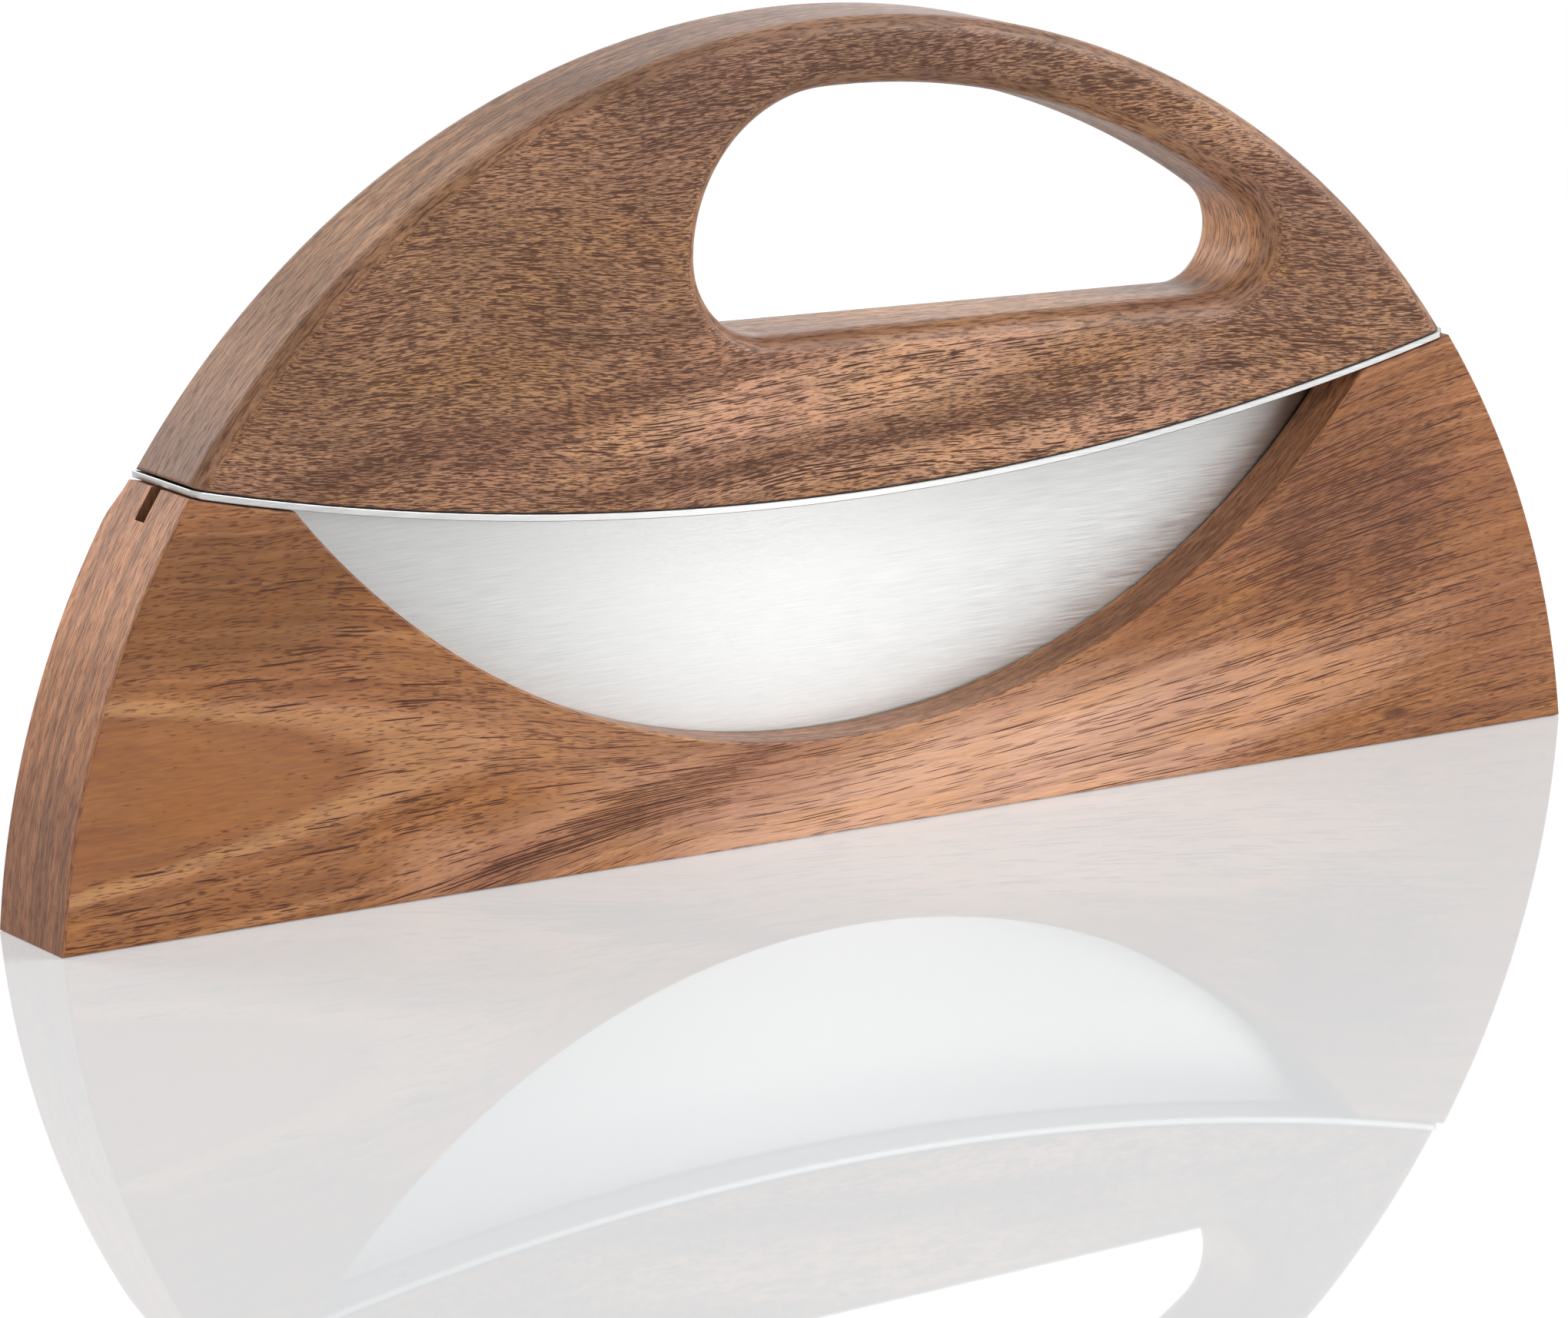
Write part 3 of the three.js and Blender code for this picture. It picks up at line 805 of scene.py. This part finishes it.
def grain_space(shader, flow):
    """Millimetre places, and places along, through and across a grain that bends and draws together."""
    spot, normal = shader.places()
    x, y, z = shader.split(spot)
    lift = shader.math("MULTIPLY_ADD", x, flow["slope"], flow["level"])
    for middle, reach, rise in flow["bends"]:
        turn = shader.math("MULTIPLY_ADD", x, 1 / reach, -middle / reach)
        lift = shader.math("MULTIPLY_ADD", shader.math("TANH", turn), rise, lift)
    width = 1.0
    for start, end, change in flow["widths"]:
        width = shader.math("ADD", width, shader.fade(x, start, end, 0.0, change))
    across = shader.math("DIVIDE", shader.math("SUBTRACT", z, lift), width)
    broad = centred(shader, spot, WAVE_CELL, flow["wave"])
    fine = centred(shader, spot, RIPPLE_CELL, flow["ripple"])
    across = shader.math("ADD", across, shader.math("ADD", broad, fine))
    through = shader.math("ADD", shader.math("ADD", y, half_thickness), fine)
    return spot, shader.vector(x, through, across), normal


def belt(shader, x, layer, item):
    """Mask of a band of growth layers, which runs out along the grain."""
    off = shader.math("MULTIPLY_ADD", layer, 1 / item["reach"], -item["layer"] / item["reach"])
    near = shader.fade(shader.math("ABSOLUTE", off), *BELT_SPAN)
    return shader.times(near, shader.fade(x, item["end"], item["end"] - item["runout"]))


def blot(shader, x, z, item, blur):
    """Mask of a soft patch about a place, which leans with a slope and has a rough edge."""
    place_x, place_z = item["place"]
    reach_x, reach_z = item["reach"]
    slope = item["slope"]
    dx = shader.math("MULTIPLY_ADD", x, 1 / reach_x, -place_x / reach_x)
    lean = shader.math("MULTIPLY_ADD", x, -slope / reach_z, (slope * place_x - place_z) / reach_z)
    dz = shader.math("MULTIPLY_ADD", z, 1 / reach_z, lean)
    square = shader.math("MULTIPLY_ADD", dx, dx, shader.times(dz, dz))
    far = shader.math("MULTIPLY_ADD", blur, item["rough"], shader.math("SQRT", square))
    return shader.fade(far, *BLOT_SPAN)


def wood(name, look):
    """Oiled hardwood: growth layers, patches of tone, fibres, pores, a satin finish, and painted light and
    shade on the roundings, rims and seat.
    """
    shader = Shader(name)
    spot, grain, normal = grain_space(shader, look["flow"])
    x, through, across = shader.split(grain)
    z = shader.split(spot)[2]
    blur = centred(shader, grain, BLUR_CELL, 1.0, 3.0)

    # Growth layers: nested arches about the line of the grain, each named by the place of its tip
    ring = look["ring"]
    layer = shader.math("MULTIPLY_ADD", shader.times(across, across), 1 / ring["round"], x)
    layer = shader.math("MULTIPLY_ADD", through, ring["through"], layer)
    layer = shader.math("MULTIPLY_ADD", blur, ring["rough"], layer)
    bands = shader.noise(shader.vector(layer, 0.0, 0.0), (1 / ring["pitch"], 0.0, 0.0))
    colour = shader.ramp(bands, [(at, srgb(*tone)) for at, tone in look["tones"]])

    # Belts and patches of other tones, which also thin out or crowd the pores
    masks = [(belt(shader, x, layer, item), item) for item in look["belts"]]
    masks += [(blot(shader, x, z, item, blur), item) for item in look["blots"]]
    crowd = {"pores": 0.0, "dashes": 0.0}
    for mask, item in masks:
        colour = shader.mix(shader.times(mask, item["weight"]), colour, srgb(*item["tone"]))
        for key, total in crowd.items():
            crowd[key] = shader.math("MULTIPLY_ADD", mask, item[key], total)

    # Tints, streaks and fibres, thin layers that show on the edges, and painted light and shade on the
    # edges
    for cell, tints in ((BROAD_CELL, BROAD_TINTS), (FINE_CELL, FINE_TINTS)):
        tint = shader.noise(grain, cell, 1.0)
        colour = shader.mix(1.0, colour, shader.ramp(tint, tints), "MULTIPLY")
    facing = [shader.math("ABSOLUTE", part) for part in shader.split(normal)]
    end = shader.fade(facing[0], *END_FACING)
    edge = shader.fade(facing[1], *EDGE_FACING)
    streak = shader.noise(grain, STREAK_CELL, 2.0, 0.6)
    dark = shader.fade(streak, *STREAK_SPAN, 0.0, look["streak"])
    dark = shader.times(dark, shader.math("SUBTRACT", 1.0, edge))
    colour = shader.mix(dark, colour, srgb(*look["streak_tone"]))
    fibre = shader.noise(spot, FIBRE_CELL, 2.0, 0.65)
    sheets = shader.noise(grain, SHEET_CELL, 2.0, 0.6)
    colour = shader.mix(shader.times(end, look["end"]), colour, srgb(*look["end_tone"]))
    # Painted light and shade in patches on the rims, end faces and the hole's walls
    for item in look["edge_light_and_shade"]:
        mask = shader.times(edge, blot(shader, x, z, item, blur))
        colour = shader.mix(shader.times(mask, item["weight"]), colour, srgb(*item["tone"]))
    shift = shader.fade(sheets, *SHEET_SPAN, -look["sheets"], look["sheets"])
    share = shader.math("MULTIPLY_ADD", edge, 1 - SHEETS_ON_FACE, SHEETS_ON_FACE)
    shift = shader.times(shift, share)
    # Painted light and shade along the roundings between faces and edges: darker on the handle, lighter on
    # the block's eased edges
    rounding_light_and_shade = shader.times(shader.fade(facing[1], *ROUND_FROM), shader.fade(facing[1], *ROUND_TO))
    shift = shader.math("MULTIPLY_ADD", rounding_light_and_shade, look["rounding_light_and_shade"], shift)
    # Painted shade on the rims that face up and down and are not end grain
    flat = shader.times(edge, shader.math("SUBTRACT", 1.0, end))
    shift = shader.math("MULTIPLY_ADD", flat, -look["flat"], shift)
    curl = shader.noise(spot, CURL_CELL, 1.0)
    shift = shader.math("ADD", shift, shader.fade(curl, *CURL_SPAN, -look["curl"], look["curl"]))
    plain = shader.fade(fibre, *FIBRE_SPAN, 1 - look["fibre"], 1 + look["fibre"])
    value = shader.math("ADD", plain, shift)
    colour = shader.mix(1.0, colour, shader.vector(value, value, value), "MULTIPLY")

    # Pores along the fibres, and the finer lines of the cut edges
    bunch = centred(shader, grain, BUNCH_CELL, 1.0, 1.0)
    pores = 0.0
    for kind in look["pores"]:
        dash = shader.noise(grain, kind["cell"], kind["detail"], PORE_ROUGHNESS)
        lift = shader.math("MULTIPLY_ADD", bunch, kind["bunch"], dash)
        lift = shader.math("ADD", crowd["pores"], lift)
        mask = shader.fade(lift, kind["level"], kind["level"] + kind["soft"], 0.0, kind["depth"])
        pores = shader.math("MAXIMUM", pores, mask)
    for kind in look["dashes"]:
        level = shader.noise(grain, kind["cell"], 0.0)
        beside = shader.noise(grain, kind["cell"], 0.0, offset=(0.0, 0.0, LINE_STEP))
        steep = shader.math("ABSOLUTE", shader.math("SUBTRACT", beside, level))
        firm = shader.fade(steep, LINE_LEAST_SLOPE, 2 * LINE_LEAST_SLOPE, 0.0, kind["depth"])
        steep = shader.math("MAXIMUM", steep, LINE_LEAST_SLOPE)
        off = shader.math("DIVIDE", shader.math("ABSOLUTE", shader.math("SUBTRACT", level, 0.5)), steep)
        reach = kind["width"] * kind["cell"][2] / LINE_STEP / 2
        thin = shader.times(firm, shader.fade(off, reach, LINE_CORE * reach))
        gap = shader.noise(grain, kind["gaps"], 0.0)
        gap = shader.math("MULTIPLY_ADD", bunch, LINE_BUNCH, shader.math("ADD", gap, crowd["dashes"]))
        mask = shader.times(thin, shader.fade(gap, kind["level"], kind["level"] + LINE_END))
        pores = shader.math("MAXIMUM", pores, mask)
    lines = shader.noise(spot, EDGE_CELL, 2.0, 0.6)
    lines = shader.fade(lines, *EDGE_SPAN, 0.0, look["edge_lines"])
    turned = shader.fade(facing[1], *TURNED_FACING)
    over = shader.times(turned, shader.math("SUBTRACT", lines, pores))
    pores = shader.math("ADD", pores, over)
    colour = shader.mix(pores, colour, srgb(*look["pore_tone"]))

    # Painted shadow line along the seat gap, where the handle meets the bolster
    for centre_height, radius, line in look["seat_shadows"]:
        drop = shader.math("SUBTRACT", z, centre_height)
        square = shader.math("MULTIPLY_ADD", x, x, shader.times(drop, drop))
        near = shader.fade(shader.math("SQRT", square), radius - line, radius, 0.0, SEAT_SHADOW_DEPTH)
        colour = shader.mix(near, colour, srgb(*SEAT_SHADOW_TONE))

    satin = shader.math("MULTIPLY_ADD", fibre, SATIN_FIBRE, look["roughness"])
    shader.set(
        Base_Color=colour,
        Roughness=shader.math("MULTIPLY_ADD", pores, SATIN_PORES, satin),
        Specular_IOR_Level=SATIN_SPECULAR,
    )
    shader.bump(fibre, FIBRE_BUMP, FIBRE_RELIEF)
    return shader.material


def patch(place, reach, tone, weight, pores=0.0, dashes=0.0, slope=0.0, rough=0.6):
    """Soft patch of a tone about a place, and how it shifts the two kinds of pores."""
    shape = dict(place=place, reach=reach, slope=slope, rough=rough)
    return dict(shape, tone=tone, weight=weight, pores=pores, dashes=dashes)


def arches(layer, reach, tone, weight, pores, end, runout):
    """Belt of growth layers in a tone, which runs out before an end along the grain."""
    shape = dict(layer=layer, reach=reach, end=end, runout=runout)
    return dict(shape, tone=tone, weight=weight, pores=pores, dashes=pores)


def pore(cell, detail, bunch, level, soft, depth):
    """Short pores: spots of noise above a level."""
    return dict(cell=cell, detail=detail, bunch=bunch, level=level, soft=soft, depth=depth)


def long_pore(cell, width, gaps, level, depth):
    """Long pores: broken lines of a width in millimetres along the middle level of the noise."""
    return dict(cell=cell, width=width, gaps=gaps, level=level, depth=depth)


HANDLE_LOOK = {
    "flow": {
        "slope": -0.12,
        "level": 84.0,
        "bends": [(10.0, 45.0, 7.2)],
        "widths": [],
        "wave": 8.0,
        "ripple": 0.5,
    },
    "ring": {"round": 16.0, "through": 6.0, "rough": 40.0, "pitch": 60.0},
    "tones": [
        (0.28, (150, 104, 75)),
        (0.45, (177, 130, 98)),
        (0.58, (193, 144, 111)),
        (0.72, (207, 158, 126)),
    ],
    "belts": [],
    "blots": [
        patch((-70, 84), (40, 18), (164, 124, 84), 0.4, pores=0.01),
        patch((-60, 65.5), (40, 2.8), (126, 86, 65), 0.45, pores=0.02, slope=0.11),
        patch((-52, 60), (32, 2.6), (188, 136, 102), 0.5, slope=0.08),
        patch((0, 66.5), (46, 5.5), (226, 173, 138), 0.8, pores=-0.09, dashes=0.14, slope=0.11),
        patch((20, 54.5), (46, 2.4), (220, 166, 132), 0.65, pores=-0.06, dashes=0.16, slope=0.02),
        patch((10, 58.2), (62, 1.4), (110, 76, 62), 0.3, pores=0.03, dashes=0.1, slope=0.07),
        patch((15, 112), (70, 12), (150, 116, 98), 0.5, pores=0.03),
        patch((85, 80), (22, 16), (154, 114, 92), 0.5, pores=0.02),
        patch((85, 66), (24, 4), (180, 136, 106), 0.4, dashes=0.12, slope=0.1),
        # Golden tone painted on the lip of the hole's floor, standing in for the light on its rounding; it
        # also thins the pores
        patch((32, 76), (42, 3.2), (212, 152, 98), 0.75, pores=-0.04, dashes=0.12, rough=0.8),
    ],
    "streak": 0.35,
    "streak_tone": (104, 72, 56),
    "fibre": 0.1,
    "curl": 0.07,
    "end": 0.7,
    "end_tone": (172, 122, 88),
    "edge_light_and_shade": [
        # Painted light on the hole's right wall
        patch((71, 79), (6, 8), (226, 168, 126), 0.75),
        # Painted light on the upper left rim
        patch((-66, 98), (17, 14), (226, 174, 136), 0.6),
        # Painted shade on the lower left rim
        patch((-104, 62), (12, 12), (120, 84, 62), 0.5),
    ],
    "edge_lines": 0.75,
    "sheets": 0.24,
    "pores": [
        pore((0.65, 5.5, 7.2), 1.0, 0.08, 0.455, 0.15, 0.88),
        pore((0.42, 4.4, 5.8), 0.0, 0.12, 0.54, 0.16, 0.92),
    ],
    "dashes": [
        long_pore((0.06, 1.2, 1.2), 0.4, (0.2, 1.2, 1.3), 0.6, 1.0),
        long_pore((0.1, 2.0, 2.0), 0.32, (0.26, 1.6, 1.8), 0.62, 1.0),
    ],
    "pore_tone": (74, 40, 23),
    # Painted shade along the rounded edges
    "rounding_light_and_shade": -0.2,
    # Painted shade on the rims that face up and down
    "flat": 0.28,
    # Painted shadow line along the gap over the bolster
    "seat_shadows": [(bolster_centre.y, handle_seat, 0.3)],
    "roughness": 0.34,
}

BLOCK_LOOK = {
    "flow": {
        "slope": 0.0,
        "level": 31.5,
        "bends": [(-49.0, 22.0, -3.5), (66.0, 58.0, 13.0)],
        "widths": [(-88.0, -20.0, -0.6), (0.0, 120.0, 0.25)],
        "wave": 4.0,
        "ripple": 0.6,
    },
    "ring": {"round": 3.1, "through": 5.0, "rough": 16.0, "pitch": 26.0},
    "tones": [
        (0.28, (134, 86, 52)),
        (0.42, (160, 106, 66)),
        (0.56, (180, 124, 82)),
        (0.72, (202, 147, 105)),
    ],
    "belts": [
        arches(-110, 40, (160, 104, 63), 0.85, -0.18, -60, 20),
        arches(-71, 11, (206, 153, 106), 0.65, -0.04, -58, 20),
    ],
    "blots": [
        patch((-108, 48), (36, 11), (122, 78, 43), 0.65, pores=0.01, dashes=-0.06),
        patch((-45, 18), (24, 7), (204, 148, 110), 0.6, pores=0.01, dashes=0.06, slope=-0.3),
        patch((-70, 5), (7, 5), (208, 154, 116), 0.55, pores=-0.04),
        patch((-30, 10), (40, 7), (206, 154, 122), 0.6, pores=-0.06, dashes=0.08, slope=0.2),
        patch((-40, 7.5), (34, 3), (140, 90, 64), 0.42, pores=0.04, dashes=0.24, slope=0.25, rough=0.9),
        patch((26, 4.5), (60, 11), (236, 185, 157), 0.95, pores=-0.2, dashes=0.06, slope=0.13),
        patch((80, 14), (34, 7), (208, 152, 118), 0.55, dashes=0.06, slope=0.2),
        patch((90, 38), (22, 17), (146, 97, 69), 0.8, pores=0.09, dashes=0.18, rough=0.9),
        patch((119, 26), (11, 26), (160, 106, 74), 0.5, pores=-0.03),
        patch((98.4, 4.6), (3, 0.9), (92, 52, 38), 0.75, rough=1.6),
        patch((112, 3.4), (16, 1.2), (120, 76, 56), 0.4, dashes=0.05, rough=1),
    ],
    "streak": 0.35,
    "streak_tone": (116, 72, 50),
    "fibre": 0.07,
    "curl": 0.04,
    "end": 0.7,
    "end_tone": (186, 127, 90),
    "edge_light_and_shade": [
        # Painted light on the upper part of the left end
        patch((-120, 52), (24, 12), (216, 152, 112), 0.6),
        # Painted shade on the lower part of the left end
        patch((-130, 2), (24, 24), (118, 76, 54), 0.6),
    ],
    "edge_lines": 0.7,
    "sheets": 0.34,
    "pores": [
        pore((0.55, 4.5, 5.0), 0.0, 0.24, 0.56, 0.14, 0.68),
    ],
    "dashes": [
        long_pore((0.025, 0.8, 0.8), 0.48, (0.09, 0.8, 0.9), 0.6, 1.0),
        long_pore((0.05, 1.4, 1.4), 0.38, (0.14, 1.2, 1.3), 0.62, 1.0),
    ],
    "pore_tone": (82, 43, 27),
    # Painted highlight along the eased edges
    "rounding_light_and_shade": 0.08,
    # Painted shade on the rims that face up and down
    "flat": 0.1,
    "seat_shadows": [],
    "roughness": 0.36,
}


SAW_TONES = [(0.3, srgb(112, 75, 52)), (0.7, srgb(150, 104, 74))]
STEEL_BROAD = 0.2
STEEL_BROAD_SHARE = 0.15
STEEL_TONE_STEPS = (-14, 12)
STEEL_ROUGH_STEPS = (-0.05, 0.07)
STEEL_ANISOTROPY = 0.9
STEEL_TANGENT = (0.0, 0.6, 0.8)
STEEL_RELIEF = 0.05 * MM


def sawn_wood(name):
    """Raw wood inside the saw kerf, with saw marks across it."""
    shader = Shader(name)
    spot = shader.places()[0]
    marks = shader.noise(spot, SAW_CELL, 2.0, 0.6)
    shader.set(
        Base_Color=shader.ramp(marks, SAW_TONES),
        Roughness=shader.fade(marks, 0.2, 0.8, 0.6, 0.8),
    )
    shader.bump(marks, 0.4, 0.1 * MM)
    return shader.material


def steel(name, brush, tone, roughness, strength):
    """Brushed stainless steel: fine lines that are long in one direction."""
    shader = Shader(name)
    spot = shader.places()[0]
    lines = shader.noise(spot, brush, 3.0, 0.65)
    broad = shader.noise(spot, tuple(STEEL_BROAD * cell for cell in brush))
    lift = shader.times(lines, 1 - STEEL_BROAD_SHARE)
    lift = shader.math("MULTIPLY_ADD", broad, STEEL_BROAD_SHARE, lift)
    low, high = (srgb(*(value + step for value in tone)) for step in STEEL_TONE_STEPS)
    fine, coarse = (roughness + step for step in STEEL_ROUGH_STEPS)
    shader.set(
        Base_Color=shader.ramp(lift, [(0.3, low), (0.7, high)]),
        Metallic=1.0,
        Roughness=shader.fade(lift, 0.25, 0.75, fine, coarse),
        Anisotropic=STEEL_ANISOTROPY,
        Tangent=shader.vector(*STEEL_TANGENT),
    )
    shader.bump(lines, strength, STEEL_RELIEF)
    return shader.material


# Pieces

bolster_middle = crossing(outer_centre, outer_radius, bolster_centre, BOLSTER_ARC + BOLSTER_THICKNESS / 2)
bolster_half = bolster_middle.x - BOLSTER_END_INSET
edge_arc = blade_edge(bolster_half)
places = screw_places(bolster_half)

block_wood = wood("block_wood", BLOCK_LOOK)
handle_wood = wood("handle_wood", HANDLE_LOOK)
kerf_wood = sawn_wood("kerf_wood")
blade_steel = steel("brushed_steel", (0.12, 5.0, 5.0), (198, 198, 197), roughness=0.34, strength=0.12)
screw_steel = steel("screw_steel", (1.5, 1.5, 1.5), (200, 200, 198), roughness=0.28, strength=0.05)

stand = make_stand(edge_arc)
handle = make_handle()
cut(handle, [screw_hole(place) for place in places.values()])
bolster = make_bolster(bolster_half)
cut(bolster, [screw_hole(place) for place in places.values()])
blade = make_blade(edge_arc)
screws = {f"screw_{key}": make_screw(f"wood_screw_{key}", place) for key, place in places.items()}


def finish_piece(piece, node, body, slot, *materials):
    """Shades a piece, gives it its materials and puts it in the place of its CAD node."""
    shade(piece)
    piece.data.materials.clear()
    for material in materials:
        piece.data.materials.append(material)
    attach(piece, body)
    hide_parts(node)


finish_piece(stand, "stand", "block", "block_wood", block_wood, kerf_wood)
finish_piece(handle, "handle", "knife", "handle_wood", handle_wood)
finish_piece(bolster, "bolster_plate", "knife", "brushed_steel", blade_steel)
finish_piece(blade, "blade", "knife", "brushed_steel", blade_steel)
for node, screw in screws.items():
    finish_piece(screw, node, "knife", "screw_steel", screw_steel)
kerf_half = (BLADE_THICKNESS / 2 + SLOT_SIDE + SAME_PLACE) * MM
for polygon in stand.data.polygons:
    in_kerf = all(abs(stand.data.vertices[v].co.y) < kerf_half for v in polygon.vertices)
    polygon.material_index = 1 if in_kerf else 0


# Floor, light and camera

FLOOR_REACH = 4.0
FLOOR_DROP = 0.1 * MM
FLOOR_COLOUR = (0.84, 0.882, 0.906, 1.0)
FLOOR_ROUGHNESS = 0.02
FLOOR_IOR = 2.0
FLOOR_GLOW = 0.36
FLOOR_FADE = (0.3, 0.62)
WORLD_LIGHT = 0.42
LIGHT_AIM = (0.0, 0.0, 0.06)

CAMERA_PLACE = (-0.605725, -0.96341, 0.279317)
CAMERA_YAW = radians(31.9162)
CAMERA_PITCH = radians(12.6461)
CAMERA_ROLL = radians(-0.7103)
CAMERA_LENS = 181.795
CAMERA_SENSOR = 36.0


def shown_rays(tree):
    """Factor that is 1 where the camera sees a surface, straight, mirrored or through glass."""
    ray = tree.nodes.new("ShaderNodeLightPath")
    seen = ray.outputs["Is Camera Ray"]
    for name in ("Is Glossy Ray", "Is Transmission Ray"):
        either = tree.nodes.new("ShaderNodeMath")
        either.operation = "MAXIMUM"
        tree.links.new(seen, either.inputs[0])
        tree.links.new(ray.outputs[name], either.inputs[1])
        seen = either.outputs[0]
    return seen


def make_floor():
    """Plain pale table top with a mirror gloss, which fades into the white surroundings."""
    mesh = bpy.data.meshes.new("floor")
    corners = [(-1, -1), (1, -1), (1, 1), (-1, 1)]
    places = [(x * FLOOR_REACH, y * FLOOR_REACH, -FLOOR_DROP) for x, y in corners]
    mesh.from_pydata(places, [], [(0, 1, 2, 3)])
    floor = bpy.data.objects.new("floor", mesh)
    bpy.context.scene.collection.objects.link(floor)
    shader = Shader("pale_table")
    shader.set(Base_Color=FLOOR_COLOUR, Roughness=FLOOR_ROUGHNESS, IOR=FLOOR_IOR)
    glow = shader.add("ShaderNodeEmission")
    mix = shader.add("ShaderNodeMixShader")
    place = shader.add("ShaderNodeTexCoord").outputs["Object"]
    x, y, _ = shader.split(place)
    away = shader.math("SQRT", shader.math("MULTIPLY_ADD", x, x, shader.times(y, y)))
    white = shader.fade(away, *FLOOR_FADE, FLOOR_GLOW, 1.0)
    shader.join(shader.times(shown_rays(shader.tree), white), mix.inputs[0])
    shader.join(shader.surface.outputs[0], mix.inputs[1])
    shader.join(glow.outputs[0], mix.inputs[2])
    shader.join(mix.outputs[0], shader.tree.get_output_node("ALL").inputs["Surface"])
    mesh.materials.append(shader.material)


def make_world():
    """Even white surroundings: white to the camera and in reflections, softer as a light."""
    world = bpy.data.worlds.new("studio")
    bpy.context.scene.world = world
    world.use_nodes = True
    tree = world.node_tree
    tree.nodes.clear()
    mix = tree.nodes.new("ShaderNodeMixShader")
    tree.links.new(shown_rays(tree), mix.inputs[0])
    for socket, strength in ((mix.inputs[1], WORLD_LIGHT), (mix.inputs[2], 1.0)):
        background = tree.nodes.new("ShaderNodeBackground")
        background.inputs["Color"].default_value = (1.0, 1.0, 1.0, 1.0)
        background.inputs["Strength"].default_value = strength
        tree.links.new(background.outputs[0], socket)
    output = tree.nodes.new("ShaderNodeOutputWorld")
    tree.links.new(mix.outputs[0], output.inputs[0])


def add_light(name, place, aim, size, power, spread=pi):
    """Soft box that faces a point and shines within an angle of spread."""
    lamp = bpy.data.lights.new(name, "AREA")
    lamp.shape = "RECTANGLE"
    lamp.size, lamp.size_y = size
    lamp.energy = power
    lamp.spread = spread
    light = bpy.data.objects.new(name, lamp)
    light.visible_camera = False
    light.location = place
    light.rotation_euler = (Vector(aim) - Vector(place)).to_track_quat("-Z", "Y").to_euler()
    bpy.context.scene.collection.objects.link(light)


def make_camera():
    """Camera at the photograph's place, from its yaw, pitch and roll."""
    ahead = cos(CAMERA_PITCH)
    forward = Vector((sin(CAMERA_YAW) * ahead, cos(CAMERA_YAW) * ahead, -sin(CAMERA_PITCH)))
    level = Vector((cos(CAMERA_YAW), -sin(CAMERA_YAW), 0.0))
    upright = level.cross(forward)
    right = level * cos(CAMERA_ROLL) + upright * sin(CAMERA_ROLL)
    up = upright * cos(CAMERA_ROLL) - level * sin(CAMERA_ROLL)
    data = bpy.data.cameras.new("camera")
    data.lens = CAMERA_LENS
    data.sensor_fit = "HORIZONTAL"
    data.sensor_width = CAMERA_SENSOR
    camera = bpy.data.objects.new("camera", data)
    turn = Matrix((right, up, -forward)).transposed().to_4x4()
    camera.matrix_world = Matrix.Translation(CAMERA_PLACE) @ turn
    bpy.context.scene.collection.objects.link(camera)
    bpy.context.scene.camera = camera


make_floor()
make_world()
add_light("key", (1.3, -0.8, 0.95), LIGHT_AIM, size=(0.9, 0.9), power=17.5)
add_light("left", (-1.1, -0.6, 0.45), (-0.1, 0.0, 0.06), size=(0.12, 0.3), power=2.0)
add_light("top", (-0.85, 1.4, 0.85), LIGHT_AIM, size=(1.1, 0.9), power=8.5)
add_light("back", (0.62, 1.0, 0.3), LIGHT_AIM, size=(1.0, 0.4), power=0.16, spread=radians(60))
add_light("strip", (0.41, -0.7, 0.1), (0.0, 0.0, 0.035), size=(0.08, 0.16), power=0.32)
make_camera()
bpy.context.scene.view_settings.view_transform = "Standard"
